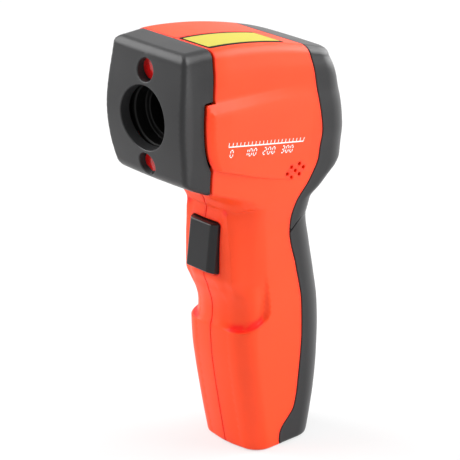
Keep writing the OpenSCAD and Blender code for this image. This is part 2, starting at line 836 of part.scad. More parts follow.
// Trigger
trigger_top_x = base_front + 10.1;
trigger_foot_x = base_front + 12.2;
trigger_bevel = 1.6;
module trigger_outline(back) {
    z0 = trigger_z - trigger_h / 2;
    z1 = trigger_z + trigger_h / 2;
    offset(r = 0.8, $fn = 16)
    offset(delta = -0.8)
    polygon([[flange_x, z0], [trigger_foot_x - back, z0], [trigger_top_x - back, z1], [flange_x, z1]]);
}
module trigger() {
    color(charcoal)
    difference() {
        union() {
            hull() {
                slab(-trigger_w / 2, trigger_w / 2)
                trigger_outline(trigger_bevel);
                slab(trigger_bevel - trigger_w / 2, trigger_w / 2 - trigger_bevel)
                trigger_outline(0);
            }
            tunnel_box(0, flange_x, flange_x + flange_t);
        }
        bar_x(flange_x - 1, flange_x + spring_cup, spring_d + 0.5, spring_z);
    }
}
spring_z = trigger_z - 4.5;
switch_z = trigger_z + 4.5;
spring_cup = 1.5;
spring_x = trigger_board_x + board_t + 0.05;
spring_len = flange_x + spring_cup - spring_x - 0.05;
// Closed tube along a path; each place on the path has its own side and cross directions.
module tube(path, d, sides) {
    last = len(path) - 1;
    points = [for (p = path, k = [0:sides - 1])
        p[0] + d / 2 * (cos(360 * k / sides) * p[1] + sin(360 * k / sides) * p[2])];
    skin = [for (i = [0:last - 1], k = [0:sides - 1])
        let (a = i * sides + k, b = i * sides + (k + 1) % sides)
        each [[a, b, b + sides], [a, b + sides, a + sides]]];
    polyhedron(points, concat(skin, [[for (k = [sides - 1:-1:0]) k]],
        [[for (k = [0:sides - 1]) last * sides + k]]));
}
// The spring stands between the board and the cup in the trigger.
module trigger_spring() {
    per_turn = 12;
    coil_r = (spring_d - spring_wire) / 2;
    pitch = (spring_len - spring_wire) / spring_turns;
    echo(spring_gap = pitch - spring_wire);
    color(steel)
    tube([for (i = [0:spring_turns * per_turn])
        let (a = 360 * i / per_turn, out = [0, cos(a), sin(a)])
        [[spring_x + spring_wire / 2 + pitch * i / per_turn, 0, spring_z] + coil_r * out, out, [1, 0, 0]]],
        spring_wire, 6);
}
module trigger_switch() {
    front = trigger_board_x + board_t + 2.6;
    color("black")
    union() {
        block([trigger_board_x + board_t, -3, switch_z - 3], [front, 3, switch_z + 3]);
        bar_x(front - 0.5, flange_x - trigger_travel - 0.05, 3, switch_z);
    }
}
module trigger_board() {
    color(board_green)
    block([trigger_board_x + 0.05, -flange_w / 2, trigger_z - flange_h / 2],
        [trigger_board_x + board_t, flange_w / 2, trigger_z + flange_h / 2]);
}

// Sounder and power
module sounder() {
    color("black")
    difference() {
        bar_y(sounder_y, sounder_y + sounder_t, sounder_d, sounder_at);
        bar_y(sounder_y + sounder_t - 1, far, sounder_d - 2, sounder_at);
    }
}
battery_room = 1;
battery_x = front_at(battery_z, wall) - battery_room - battery_size[0];
module battery() {
    color("dimgray")
    translate([battery_x, -battery_size[1] / 2, battery_z + 0.05])
    cube(battery_size);
}
snap_z = battery_z + battery_size[2] + 0.1;
snap_t = 3;
module battery_snap() {
    color("black")
    block([battery_x + 2, -6, snap_z], [tunnel_back_x - 0.5, 6, snap_z + snap_t]);
}
lead_d = 1.4;
// Two leads run from the snap up to the lower edge of the main board.
lead_route = [[battery_x + 10, snap_z + snap_t], [battery_x + 10, snap_z + 8], [battery_x + 9.6, snap_z + grown(18)],
    display_place(board_x + board_t + 7, -grown(19)), display_place(board_x + board_t + 3, -grown(14)),
    display_place(board_x + board_t + lead_d / 2 + 0.1, -grown(8))];
function lead_turn(i) =
    let (r = lead_route, n = len(r) - 1, d = r[min(i + 1, n)] - r[max(i - 1, 0)])
    d / norm(d);
module battery_leads() {
    color("red")
    for (y = [-2, 2])
        tube([for (i = [0:len(lead_route) - 1])
            let (t = lead_turn(i))
            [[lead_route[i][0], y, lead_route[i][1]], [0, 1, 0], [t[1], 0, -t[0]]]], lead_d, 8);
}

left_housing();
right_housing();
nose_bezel();
rear_cover();
battery_door();
hinge_pin();
housing_screws();
trigger();
trigger_spring();
trigger_switch();
trigger_board();
optic_tube();
infrared_lens();
lens_ring();
thermopile_sensor();
sensor_board();
optics_bracket();
upper_laser();
lower_laser();
upper_laser_window();
lower_laser_window();
display_window();
display_glass();
display_frame();
main_board();
board_screws();
key_switches();
processor();
up_key();
mode_key();
down_key();
sounder();
battery();
battery_snap();
battery_leads();
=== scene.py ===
import json
import math
from collections import namedtuple
import bpy
import numpy as np
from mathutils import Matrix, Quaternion, Vector
from mathutils.bvhtree import BVHTree
from mathutils.geometry import delaunay_2d_cdt


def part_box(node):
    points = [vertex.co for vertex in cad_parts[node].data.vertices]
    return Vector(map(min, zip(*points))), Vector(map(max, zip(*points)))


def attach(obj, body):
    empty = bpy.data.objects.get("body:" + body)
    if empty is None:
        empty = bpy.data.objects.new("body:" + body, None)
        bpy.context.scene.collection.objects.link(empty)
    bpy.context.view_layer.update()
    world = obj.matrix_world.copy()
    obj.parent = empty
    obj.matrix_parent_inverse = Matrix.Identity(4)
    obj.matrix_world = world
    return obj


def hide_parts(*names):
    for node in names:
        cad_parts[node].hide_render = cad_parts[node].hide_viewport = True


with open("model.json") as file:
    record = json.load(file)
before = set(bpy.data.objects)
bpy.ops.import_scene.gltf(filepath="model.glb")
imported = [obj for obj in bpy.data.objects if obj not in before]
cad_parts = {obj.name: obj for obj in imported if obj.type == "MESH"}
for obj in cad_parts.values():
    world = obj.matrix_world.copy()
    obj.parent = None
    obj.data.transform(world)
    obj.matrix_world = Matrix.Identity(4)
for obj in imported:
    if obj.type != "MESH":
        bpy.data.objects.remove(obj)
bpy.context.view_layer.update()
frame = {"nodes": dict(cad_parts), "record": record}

MM = 0.001

# Sizes of the body in millimetres, nearly all as in the CAD model
HEAD_TOP, AXIS_Z, NOSE_X, TAIL_X = 145.5, 122.5, 38.0, -38.0
NOSE_BULGE, CROWN_FALL, CROWN_R, BASE_R = 2.3, 9.7, 3.2, 1.0
HEAD_W, GRIP_W, BASE_FRONT, BASE_REAR = 37.0, 29.6, 4.1, -25.0
NOSE_SEAM_X, PANEL_TOP, PANEL_LIFT, PANEL_FALL = 24.0, 128.8, 1.2, 2.7
PANEL_NOSE, PANEL_LONG = NOSE_SEAM_X + 3.6, NOSE_SEAM_X + 29.6
BEVEL_TOP, BEVEL_FRONT, BEVEL_LOW = 3.4, 2.8, 0.6
DOOR_TOP = 75.5
APERTURE_R, LASER_OFFSET, LASER_R = 10.5, 15.4, 3.7
TRIGGER_Z, TRIGGER_W, TRIGGER_H, TRIGGER_GAP = 74.4, 13.0, 16.0, 0.35
TRIGGER_TOP_X, TRIGGER_FOOT_X, MOUTH_R = BASE_FRONT + 10.1, BASE_FRONT + 12.2, 1.2
CHIN_Z = AXIS_Z - 20
LEAN_Z = 100.0
FRONT_LINE = [(0, BASE_FRONT)] + [(z, BASE_FRONT + d) for z, d in (
    (14, 2.6), (27, 4.8), (37, 6.1), (44.5, 6.4), (47.5, 5.6), (51, 5.4), (54.5, 5.9), (59, 7.8),
    (63.5, 9.7), (74, 9.5), (84, 8.7), (87, 8.2), (CHIN_Z - 12.5, 8.8))] + [
    (CHIN_Z - 5, NOSE_X - 13), (CHIN_Z - 1.2, NOSE_X - 5.6), (CHIN_Z + 0.4, NOSE_X - 3.4),
    (CHIN_Z + 2.4, NOSE_X - NOSE_BULGE), (AXIS_Z, NOSE_X), (HEAD_TOP - CROWN_R, NOSE_X - NOSE_BULGE)]
REAR_LINE = [(z, BASE_REAR + d) for z, d in (
    (0, 0), (8.5, -1.8), (17, -3.5), (28, -4.8), (39, -5.3), (47, -5), (58, -3.3), (69, -0.9),
    (79, 0.9), (82.5, 0.2))] + [(z, TAIL_X + d) for z, d in (
        (85.6, 12.6), (89, 8.4), (92, 5), (94.5, 2), (97, 0.5), (104, 0), (114, 0.8), (124, 2.2), (133, 4.2),
        (139, 6.2), (HEAD_TOP - CROWN_R, 7.8))]
WIDTH_LINE = [(z, GRIP_W / 2 + d) for z, d in ((0, -0.9), (10, -0.5), (44, 0), (60, -0.4), (78, -0.2))] + [
    (90, (GRIP_W + HEAD_W) / 4 - 0.4)] + [(z, HEAD_W / 2 + d) for z, d in (
        (CHIN_Z, -1.7), (112, -0.4), (AXIS_Z, 0), (133, -0.4), (HEAD_TOP - CROWN_R, -1.1))]
FRONT_ROUND = [(0, 7), (44, 7.5), (54, 8), (63, 11), (86, 11), (92, 7), (98, 3), (103, 1.6), (HEAD_TOP, 1.6)]
FRONT_SAG = [(0, 2.8), (44, 2.4), (84, 1.5), (96, 0.8), (104, 0.5), (HEAD_TOP, 0.5)]
REAR_ROUND = [(0, 9), (44, 11), (78, 9.5), (92, 9.5), (104, 10), (HEAD_TOP, 9)]
REAR_SAG = [(0, 2), (44, 3), (78, 2.5), (100, 2), (HEAD_TOP, 2)]
SPINE_LINE = [(0, -7.9), (2.1, -7.45), (4.2, -7.6), (6.1, -8.3), (7.9, -9.8), (8.8, -10.75), (10.5, -12.4),
              (11.4, -13.2), (12.4, -13.75), (14.4, -14.3), (17.8, -15), (21.3, -15.4), (25, -15.8),
              (32, -16.5), (39, -16.9), (50, -16.8), (63, -14.5), (76, -11.5), (80, -11.7), (86, -13.2),
              (93, -18.7), (100, -22.3), (107, -22.7), (120, -20.5), (137, -15.9), (HEAD_TOP, -13.5)]
PANEL_FRONT = [(AXIS_Z - 16, NOSE_SEAM_X + 0.5), (AXIS_Z - 12.2, NOSE_SEAM_X + 2.5),
               (AXIS_Z - 7, NOSE_SEAM_X + 3.7), (AXIS_Z - 0.5, NOSE_SEAM_X + 4.1),
               (PANEL_TOP, PANEL_NOSE)]
PANEL_LOW = [(-26, AXIS_Z - 31.6), (-17, AXIS_Z - 29.8), (-5.4, AXIS_Z - 26.7), (5.4, AXIS_Z - 23.3),
             (16, AXIS_Z - 19.3), (NOSE_SEAM_X + 0.5, AXIS_Z - 16)]
SCREW_PLACES, WELL_R = [(-3.5, AXIS_Z + 12.5), (8.5, AXIS_Z - 27), (-5, TRIGGER_Z + 5.5), (0.8, 9.4)], 2.5
SOUNDER_AT, SOUNDER_R, SOUNDER_PITCH = (-11.7, AXIS_Z - 25), 0.65, 3.6
SOUNDER_HOLES = [(i * SOUNDER_PITCH, -i * 0.3) for i in (-1, 0, 1)] + [
    (i * SOUNDER_PITCH, r * 1.75 - i * 0.3) for r in (-1, 1) for i in (-0.5, 0.5)]

# The climb of the door's head, the rake of the trigger's foot, and the share by which the top widens
DOOR_CLIMB, RAKE, FLARE = 4.4, 1.2, 0.075

# Sizes on the display face, from its middle
FACE_HALF, FACE_LOW, FACE_HIGH = 11.3, -12.0, 12.2
WINDOW_HALF, WINDOW_Z, WINDOW_TALL = 10.5, 4.5, 14.0
KEY_PITCH, KEY_Z, KEY_HALF, KEY_GAP = 7.8, -8.5, (3.0, 2.5), 0.3
KEY_LIFT, KEY_DOME = 0.85, 0.35


def curve(points, z):
    """Smooth monotone curve through (place, value) pairs."""
    p = np.array(points, float)
    z = np.clip(np.asarray(z, float), p[0, 0], p[-1, 0])
    h = np.diff(p[:, 0])
    rise = np.diff(p[:, 1]) / h
    m = np.concatenate([rise[:1], np.zeros(len(h) - 1), rise[-1:]])
    both = rise[:-1] * rise[1:]
    total = np.where(both > 0, rise[:-1] + rise[1:], 1)
    m[1:-1] = np.where(both > 0, 2 * both / total, 0)
    i = np.clip(np.searchsorted(p[:, 0], z, side="right") - 1, 0, len(h) - 1)
    u = (z - p[i, 0]) / h[i]
    return (p[i, 1] * (1 - u) ** 2 * (1 + 2 * u) + m[i] * h[i] * u * (1 - u) ** 2
            + p[i + 1, 1] * u ** 2 * (3 - 2 * u) - m[i + 1] * h[i] * u ** 2 * (1 - u))


def crown(x):
    """Height of the top, which falls away to the back."""
    peak, back = NOSE_X - 11, TAIL_X + 12.5
    return HEAD_TOP - CROWN_FALL * (np.maximum(0, peak - x) / (peak - back)) ** 1.8


def lean(level, x):
    """Height of a level of the head once the top leans."""
    up = LEAN_Z + (level - LEAN_Z) * (crown(x) - LEAN_Z) / (HEAD_TOP - LEAN_Z)
    return np.where(level <= LEAN_Z, level, up)


def unlean(z, x):
    """Level that the lean brings to this height."""
    up = LEAN_Z + (z - LEAN_Z) * (HEAD_TOP - LEAN_Z) / (crown(x) - LEAN_Z)
    return np.where(z <= LEAN_Z, z, up)


# The skin is laid out flat: a runs round the body from front to back, b runs up it.
B_LOW = BASE_R - BASE_R * math.pi / 2
B_FILLET = HEAD_TOP - CROWN_R
B_CAP = B_FILLET + CROWN_R * math.pi / 2


def level_at(b):
    """Height before the lean, and how far the rounded edges draw the section in."""
    top = np.clip((b - B_FILLET) / CROWN_R, 0, math.pi / 2)
    low = np.clip((BASE_R - b) / BASE_R, 0, math.pi / 2)
    level = np.clip(b, BASE_R, B_FILLET) + CROWN_R * np.sin(top) - BASE_R * np.sin(low)
    return level, CROWN_R * (1 - np.cos(top)) + BASE_R * (1 - np.cos(low))


def b_at(level):
    """Place up the skin of a level."""
    top = np.arcsin(np.clip((level - B_FILLET) / CROWN_R, 0, 1)) * CROWN_R
    low = np.arcsin(np.clip((BASE_R - level) / BASE_R, 0, 1)) * BASE_R
    return np.clip(level, BASE_R, B_FILLET) + top - low


# A level section: its height, front, back and half width, then the radius, sag and start of turn
# of the front and rear corners
Section = namedtuple("Section", "level xf xr w rf rr sf sr cf cr")


def section(b):
    """The level section of the body at b."""
    level, draw = level_at(b)
    xf, xr = curve(FRONT_LINE, level) - draw, curve(REAR_LINE, level) + draw
    w = curve(WIDTH_LINE, level) - draw
    rf = np.maximum(curve(FRONT_ROUND, level) - draw, 0.6)
    rr = np.maximum(curve(REAR_ROUND, level) - draw, 0.8)
    sf, sr = curve(FRONT_SAG, level), curve(REAR_SAG, level)
    cf = xf - sf * ((w - rf) / w) ** 2 - rf
    cr = xr + sr * ((w - rr) / w) ** 2 + rr
    return Section(level, xf, xr, w, rf, rr, sf, sr, cf, cr)


def front_middle(b):
    """a on the middle line of the front."""
    cut = section(np.clip(b, B_LOW, B_CAP))
    return -cut.cf - cut.rf * math.pi / 2 - (cut.w - cut.rf)


def rear_middle(b):
    """a on the middle line of the back."""
    cut = section(np.clip(b, B_LOW, B_CAP))
    return -cut.cr + cut.rr * math.pi / 2 + (cut.w - cut.rr)


def outline(a, b):
    """Place of (a, b) on the level section, before the caps close it."""
    level, xf, xr, w, rf, rr, sf, sr, cf, cr = section(b)
    x, y = -a, w.copy()
    for way, end, radius, sag, start in ((1, xf, rf, sf, cf), (-1, xr, rr, sr, cr)):
        over = way * (-a - start)
        turn = np.clip(over / radius, 0, math.pi / 2)
        x = np.where(over > 0, start + way * radius * np.sin(turn), x)
        y = np.where(over > 0, w - radius + radius * np.cos(turn), y)
        past = over - radius * math.pi / 2
        left = w - radius - past
        x = np.where(past > 0, end - way * sag * (left / w) ** 2, x)
        y = np.where(past > 0, left, y)
    return level, x, y


def cap_depth(a, b):
    """Half width of the flat top or base at a."""
    return outline(np.asarray(a, float), np.full(np.shape(a), float(b)))[2]


def smooth_step(u):
    """0 up to u = 0, 1 from u = 1, and smooth between."""
    u = np.clip(u, 0, 1)
    return u * u * (3 - 2 * u)


def panel_top(x):
    """Height of the sloping top edge of the side panel."""
    return PANEL_TOP - PANEL_FALL * (PANEL_NOSE - x) / PANEL_LONG


# Shares of the lift that the panel takes in a step at its top and front, and how wide the step at the top is
TOP_STEP, FRONT_STEP, STEP_WIDE = 0.16, 0.2, 0.3


def panel_lift(x, z):
    """Height of the raised side panel, with its bevelled top and front edges."""
    rise = PANEL_LIFT * np.clip((x + 18) / (NOSE_SEAM_X + 12), 0, 1)
    top = panel_top(x) - z
    front = curve(PANEL_FRONT, z) - x
    low = z - curve(PANEL_LOW, x)
    ramp_top = TOP_STEP * smooth_step(top / STEP_WIDE) + (1 - TOP_STEP) * np.clip(top / BEVEL_TOP, 0, 1)
    ramp_front = np.clip(FRONT_STEP + (1 - FRONT_STEP) * front / BEVEL_FRONT, 0, 1)
    ramp_low = smooth_step(low / BEVEL_LOW)
    return rise * np.minimum(np.minimum(ramp_top, ramp_front), ramp_low)


# The ridge beside the trigger, as distance round from the middle of the front, and the lip under the finger
RIDGE_LINE = [(54, 9.4), (60, 11.0), (64, 11.5), (72, 11.2), (81, 10.2), (87, 9.6)]
LIP_LINE = [(-4, 50.5), (-2.8, 48.8), (-1.6, 47.3), (0.9, 45.9), (4.4, 44.9), (8, 44.4), (14, 44.2)]
HOLLOW_END = [(46, -1.8), (50.5, -2.8), (56.5, -2.6), (61.5, -1.9), (66, 0.5)]
# The field round the trigger is sunk up to the ridge, and a valley lies behind the ridge
FIELD_SINK, FIELD_FOOT, FIELD_TOP, FIELD_STEP = 0.75, 55.0, 88.2, 1.3
RIDGE_HIGH, VALLEY_DEEP, HOLLOW_DEEP, LIP_ROUND = 0.3, 1.1, 1.7, 1.6
# Bounds of the grip's relief, and the strength of the shade painted into its creases
GRIP_LOW, GRIP_HIGH, GRIP_BACK, PAINTED_SHADE_STRENGTH = 43, 90, -6, 1.6


def bend(p, start, end):
    """Smooth run of heights between two ends, each given as (place, height, slope)."""
    (p0, h0, m0), (p1, h1, m1) = start, end
    run = p1 - p0
    t = np.clip((p - p0) / run, 0, 1)
    rise = t * t * (3 - 2 * t)
    return h0 + (h1 - h0) * rise + run * (m0 * t * (1 - t) ** 2 - m1 * t * t * (1 - t))


def grip_relief(s, x, b):
    """Height of the ridge and depth of the finger hollow at s round from the front, square to the skin."""
    past = s - curve(RIDGE_LINE, b)
    flank = bend(past, (-3.2, -FIELD_SINK, 0), (0, RIDGE_HIGH, 0.45))
    valley = bend(past, (0, RIDGE_HIGH, -0.3), (6, -VALLEY_DEEP, 0))
    valley = valley + bend(past, (6, 0, 0), (14, VALLEY_DEEP, 0))
    field = np.where(past < 0, flank, valley)
    field = field * smooth_step((FIELD_TOP - b) / FIELD_STEP) * smooth_step((b - FIELD_FOOT) / 7)
    above = b - curve(LIP_LINE, x)
    side = smooth_step((x - curve(HOLLOW_END, b)) / 1.5) * smooth_step((s - 3) / 9)
    fall = smooth_step(above / LIP_ROUND) * (1 - smooth_step((above - LIP_ROUND) / 17.5))
    return field - HOLLOW_DEEP * fall * side


def on_grip(x, b):
    """Where the relief of the grip lies."""
    return (b > GRIP_LOW) & (b < GRIP_HIGH) & (x > GRIP_BACK)


# The display face is flat and leans back
FACE_AT = np.array([TAIL_X + 3.4, 0.0, AXIS_Z - 6.5])
FACE_TILT, FACE_BLEND = math.radians(14), 0.3
FACE_IN = np.array([math.cos(FACE_TILT), 0.0, -math.sin(FACE_TILT)])
FACE_UP = np.array([math.sin(FACE_TILT), 0.0, math.cos(FACE_TILT)])


def bare_skin(a, b):
    """The skin without the relief of the grip and the flat of the display face."""
    inner = np.clip(b, B_LOW, B_CAP)
    level, x, y = outline(a, inner)
    z = lean(level, x)
    y = y + panel_lift(x, z) * (level > 85) * (x < NOSE_SEAM_X + 6)
    flare = 1 + FLARE * smooth_step((34 - x) / 16) * smooth_step((level - 127) / 12)
    return np.stack([x, (y - np.abs(b - inner)) * flare, z], -1)


def surface_normals(lay, a, b, e=0.04):
    """Outward normals of a laid surface, from its slopes over 2 e."""
    n = np.cross(lay(a + e, b) - lay(a - e, b), lay(a, b + e) - lay(a, b - e))
    return n / np.maximum(np.linalg.norm(n, axis=1, keepdims=True), 1e-9)


def skin(a, b):
    """Points of the finished outer skin of the left half, in millimetres."""
    a, b = np.asarray(a, float), np.asarray(b, float)
    points = bare_skin(a, b)
    grip = on_grip(points[:, 0], b)
    if grip.any():
        s = np.abs(a[grip] - front_middle(b[grip]))
        relief = grip_relief(s, points[grip, 0], b[grip])
        points[grip] += relief[:, None] * surface_normals(bare_skin, a[grip], b[grip])
    depth = (points - FACE_AT) @ FACE_IN
    behind = (depth < 3) & (b > GRIP_HIGH)
    points += np.where(behind, (np.sqrt(depth ** 2 + FACE_BLEND ** 2) - depth) / 2, 0)[:, None] * FACE_IN
    return points


def spine_x(b):
    """Place of the seam to the dark back at b."""
    level, _ = level_at(b)
    x = curve(SPINE_LINE, level)
    for _ in range(12):
        x = curve(SPINE_LINE, lean(level, x))
    return x


def steps(start, end, pitch=0.8):
    """Even places from start to end, about a pitch apart."""
    return np.linspace(start, end, max(2, int(round(abs(end - start) / pitch)) + 1))


def flat(a, b):
    """(a, b) pairs of a line, where either may be one number."""
    a, b = np.broadcast_arrays(np.asarray(a, float), np.asarray(b, float))
    return np.stack([a, b], 1)


def side_place(x, z):
    """(a, b) of a place on the side, from its X and Z."""
    x, z = np.broadcast_arrays(np.asarray(x, float), np.asarray(z, float))
    return np.stack([-x, b_at(unlean(z, x))], 1)


def inset_loop(points, amounts):
    """Moves every edge of a closed loop inward by its own amount."""
    nxt = np.roll(points, -1, 0)
    d = nxt - points
    d /= np.maximum(np.linalg.norm(d, axis=1, keepdims=True), 1e-9)
    n1 = np.stack([-d[:, 1], d[:, 0]], 1)
    n0, a0 = np.roll(n1, 1, 0), np.roll(amounts, 1)
    det = n0[:, 0] * n1[:, 1] - n0[:, 1] * n1[:, 0]
    safe = np.where(np.abs(det) > 0.2, det, 1)
    mx = (a0 * n1[:, 1] - amounts * n0[:, 1]) / safe
    my = (n0[:, 0] * amounts - n1[:, 0] * a0) / safe
    mid = (n0 + n1) * ((a0 + amounts) / 2)[:, None] / np.maximum(1 + (n0 * n1).sum(1), 0.5)[:, None]
    return points + np.where((np.abs(det) > 0.2)[:, None], np.stack([mx, my], 1), mid)


def inside(points, loop):
    """Which points lie inside a closed loop."""
    x, y = points[:, :1], points[:, 1:]
    x0, y0 = loop[:, 0], loop[:, 1]
    x1, y1 = np.roll(x0, -1), np.roll(y0, -1)
    hit = ((y0 > y) != (y1 > y)) & (x < (x1 - x0) * (y - y0) / np.where(y1 == y0, 1e-12, y1 - y0) + x0)
    return hit.sum(1) % 2 == 1


def nearest(points, others):
    """Distance from each point to the nearest of the others."""
    found = np.full(len(points), 1e9)
    for part in np.array_split(others, max(1, len(others) // 250)):
        found = np.minimum(found, np.sqrt(((points[:, None] - part[None]) ** 2).sum(2)).min(1))
    return found


# Kinds of edge: half gap to the neighbour, radius of the rolled edge, depth of the wall behind it
EDGES = {"seam": (0.15, 0.3, 2.0), "parting": (0.09, 0.2, 2.0), "window": (0.0, 0.5, 2.0),
         "port": (0.0, 0.4, 3.6), "hole": (0.0, 0.15, 2.0), "well": (0.0, 0.25, 3.9),
         "plate": (0.0, 0.4, 2.6), "cap": (0.0, 0.6, 2.2), "foil": (0.0, 0.03, 0.1),
         "middle": (0.0, 0.0, 0.0)}
EDGE_FADE = 0.8
ROLL_ANGLES = (30, 60, 90)


class Patch:
    """A moulded piece of the skin: a flat outline with holes, meshed and laid, with its edges rolled in."""

    def __init__(self, segments, holes=(), creases=(), pitch=1.0, lay=skin, glow=None):
        """Segments and holes are (line, kind of edge), and creases are lines that the mesh follows; glow, if
        given, gives shade painted into the edge value.
        """
        loop = np.concatenate([line[:-1] for line, _ in segments])
        kinds = np.concatenate([np.tile(EDGES[kind], (len(line) - 1, 1)) for line, kind in segments])
        keep = np.linalg.norm(np.roll(loop, -1, 0) - loop, axis=1) > 1e-6
        loops = [(loop[keep], kinds[keep])]
        loops += [(line[::-1], np.tile(EDGES[kind], (len(line), 1))) for line, kind in holes]
        loops = [(inset_loop(line, kind[:, 0] + kind[:, 1]), kind) for line, kind in loops]
        rim = np.concatenate([line for line, _ in loops])
        marks = [c[self._within(c, loops) & (nearest(c, rim) > 0.3 * pitch)] for c in creases]
        marks = [m for m in marks if len(m) > 1]
        fixed = np.concatenate([rim] + marks)
        low, high = rim.min(0), rim.max(0)
        ga, gb = np.meshgrid(np.arange(low[0], high[0], pitch), np.arange(low[1], high[1], pitch))
        ga = ga + (np.arange(len(ga)) % 2)[:, None] * pitch / 2
        grid = np.stack([ga.ravel(), gb.ravel()], 1)
        grid = grid[self._within(grid, loops)]
        grid = grid[nearest(grid, fixed) > 0.6 * pitch]
        edges, start = [], 0
        for line, _ in loops:
            n = len(line)
            edges += [(start + i, start + (i + 1) % n) for i in range(n)]
            start += n
        for m in marks:
            edges += [(start + i, start + i + 1) for i in range(len(m) - 1)
                      if np.linalg.norm(m[i + 1] - m[i]) < 3 * pitch]
            start += len(m)
        made = delaunay_2d_cdt([Vector(q) for q in np.concatenate([fixed, grid])], edges, [], 0, 1e-5)
        verts = np.array([tuple(v) for v in made[0]])
        index = {source: i for i, sources in enumerate(made[3]) for source in sources}
        faces = np.array([f for f in made[2] if len(f) == 3])
        faces = faces[self._within(verts[faces].mean(1), loops)]
        normals = surface_normals(lay, verts[:, 0], verts[:, 1])
        self.points = [tuple(q) for q in lay(verts[:, 0], verts[:, 1])]
        self.faces = [tuple(f) for f in faces]
        self.normals = [[tuple(normals[i]) for i in f] for f in self.faces]
        near = np.exp(-nearest(verts, rim) / EDGE_FADE)
        # Where glow is given, the edge value also carries the painted shade.
        self.edge = list(np.maximum(near, glow(verts[:, 0], verts[:, 1])) if glow else near)
        start = 0
        for line, kind in loops:
            self._roll([index[start + i] for i in range(len(line))], kind, normals)
            start += len(line)

    @staticmethod
    def _within(points, loops):
        """Which points lie inside the first loop and outside the others."""
        good = inside(points, loops[0][0])
        for line, _ in loops[1:]:
            good &= ~inside(points, line)
        return good

    def _roll(self, ids, kind, normals):
        """Rolls the edge over and carries it inward as a wall."""
        p, n = np.array([self.points[i] for i in ids]), normals[ids]
        rolled, before = kind[:, 1] > 0, np.roll(kind[:, 1], 1) > 0
        radius = np.maximum(kind[:, 1], np.roll(kind[:, 1], 1))[:, None]
        depth = np.maximum(kind[:, 2], np.roll(kind[:, 2], 1))[:, None]
        d = np.roll(p, -1, 0) - p
        d /= np.maximum(np.linalg.norm(d, axis=1, keepdims=True), 1e-9)
        out, out_before = np.cross(d, n), np.cross(np.roll(d, 1, 0), n)
        t = np.where(rolled[:, None], out, 0) + np.where(before[:, None], out_before, 0)
        t /= np.maximum(np.linalg.norm(t, axis=1, keepdims=True), 1e-9)
        stretch = np.where(rolled & before, 1 / np.clip(np.abs((t * out).sum(1)), 0.7, 1), 1)[:, None]
        rings, ring_normals = [list(ids)], [n]
        for angle in ROLL_ANGLES:
            s, c = math.sin(math.radians(angle)), math.cos(math.radians(angle))
            rings.append(self._add(p + radius * (s * t * stretch - (1 - c) * n)))
            ring_normals.append(c * n + s * t)
        rings.append(self._add(p + radius * t * stretch - depth * n))
        ring_normals.append(t)
        for k in range(len(rings) - 1):
            na, nb = ring_normals[k], ring_normals[k + 1]
            for i in np.flatnonzero(rolled):
                j = (i + 1) % len(ids)
                self.faces.append((rings[k][j], rings[k][i], rings[k + 1][i], rings[k + 1][j]))
                self.normals.append([tuple(na[j]), tuple(na[i]), tuple(nb[i]), tuple(nb[j])])

    def _add(self, q):
        """Adds points on an edge, and gives their numbers."""
        first = len(self.points)
        self.points += [tuple(v) for v in q]
        self.edge += [1.0] * len(q)
        return list(range(first, first + len(q)))

    def mirror(self):
        """Turns the left half into the right half."""
        self.points = [(x, -y, z) for x, y, z in self.points]
        self.faces = [f[::-1] for f in self.faces]
        self.normals = [[(x, -y, z) for x, y, z in ns[::-1]] for ns in self.normals]
        return self

    def whole(self):
        """Adds the right half and joins the two along the middle."""
        count = len(self.points)
        twin = {}
        for i in range(count):
            x, y, z = self.points[i]
            if abs(y) < 1e-4:
                self.points[i] = (x, 0.0, z)
                twin[i] = i
            else:
                twin[i] = len(self.points)
                self.points.append((x, -y, z))
                self.edge.append(self.edge[i])
        for f, ns in list(zip(self.faces, self.normals)):
            self.faces.append(tuple(twin[i] for i in f[::-1]))
            self.normals.append([(x, -y, z) for x, y, z in ns[::-1]])
        return self

    def add_inside(self, node, deeper=0.9):
        """Adds what the CAD piece carries on its inside."""
        tree = BVHTree.FromPolygons(self.points, self.faces)
        obj = frame["nodes"][node]
        points = [tuple(obj.matrix_world @ v.co / MM) for v in obj.data.vertices]
        deep = []
        for q in points:
            at, normal, _, distance = tree.find_nearest(q)
            deep.append(distance > deeper and (Vector(q) - at).dot(normal) < 0)
        first = len(self.points)
        self.points += points
        self.edge += [0.0] * len(points)
        for face in obj.data.polygons:
            if all(deep[i] for i in face.vertices):
                self.faces.append(tuple(first + i for i in face.vertices))
                self.normals.append([tuple(face.normal)] * len(face.vertices))
        return self

    def build(self, name, material):
        """The object, without points that no face uses."""
        used = sorted({i for f in self.faces for i in f})
        place = {i: k for k, i in enumerate(used)}
        faces = [tuple(place[i] for i in f) for f in self.faces]
        return new_object(name, [self.points[i] for i in used], faces, material, self.normals,
                          [self.edge[i] for i in used])


def in_scene(name, data):
    """A new object with this data, in the scene."""
    obj = bpy.data.objects.new(name, data)
    bpy.context.scene.collection.objects.link(obj)
    return obj


def new_object(name, points, faces, material, normals=None, edge=None):
    """A mesh object from points in millimetres."""
    mesh = bpy.data.meshes.new(name)
    mesh.from_pydata([(x * MM, y * MM, z * MM) for x, y, z in points], [], faces)
    mesh.polygons.foreach_set("use_smooth", [True] * len(mesh.polygons))
    if edge is not None:
        layer = mesh.attributes.new("edge", "FLOAT", "POINT")
        layer.data.foreach_set("value", [float(e) for e in edge])
    if normals is not None:
        mesh.normals_split_custom_set([n for ns in normals for n in ns])
    mesh.materials.append(material)
    return in_scene(name, mesh)


# Seams, as lines of (a, b)
FILLET_PITCH = 0.35


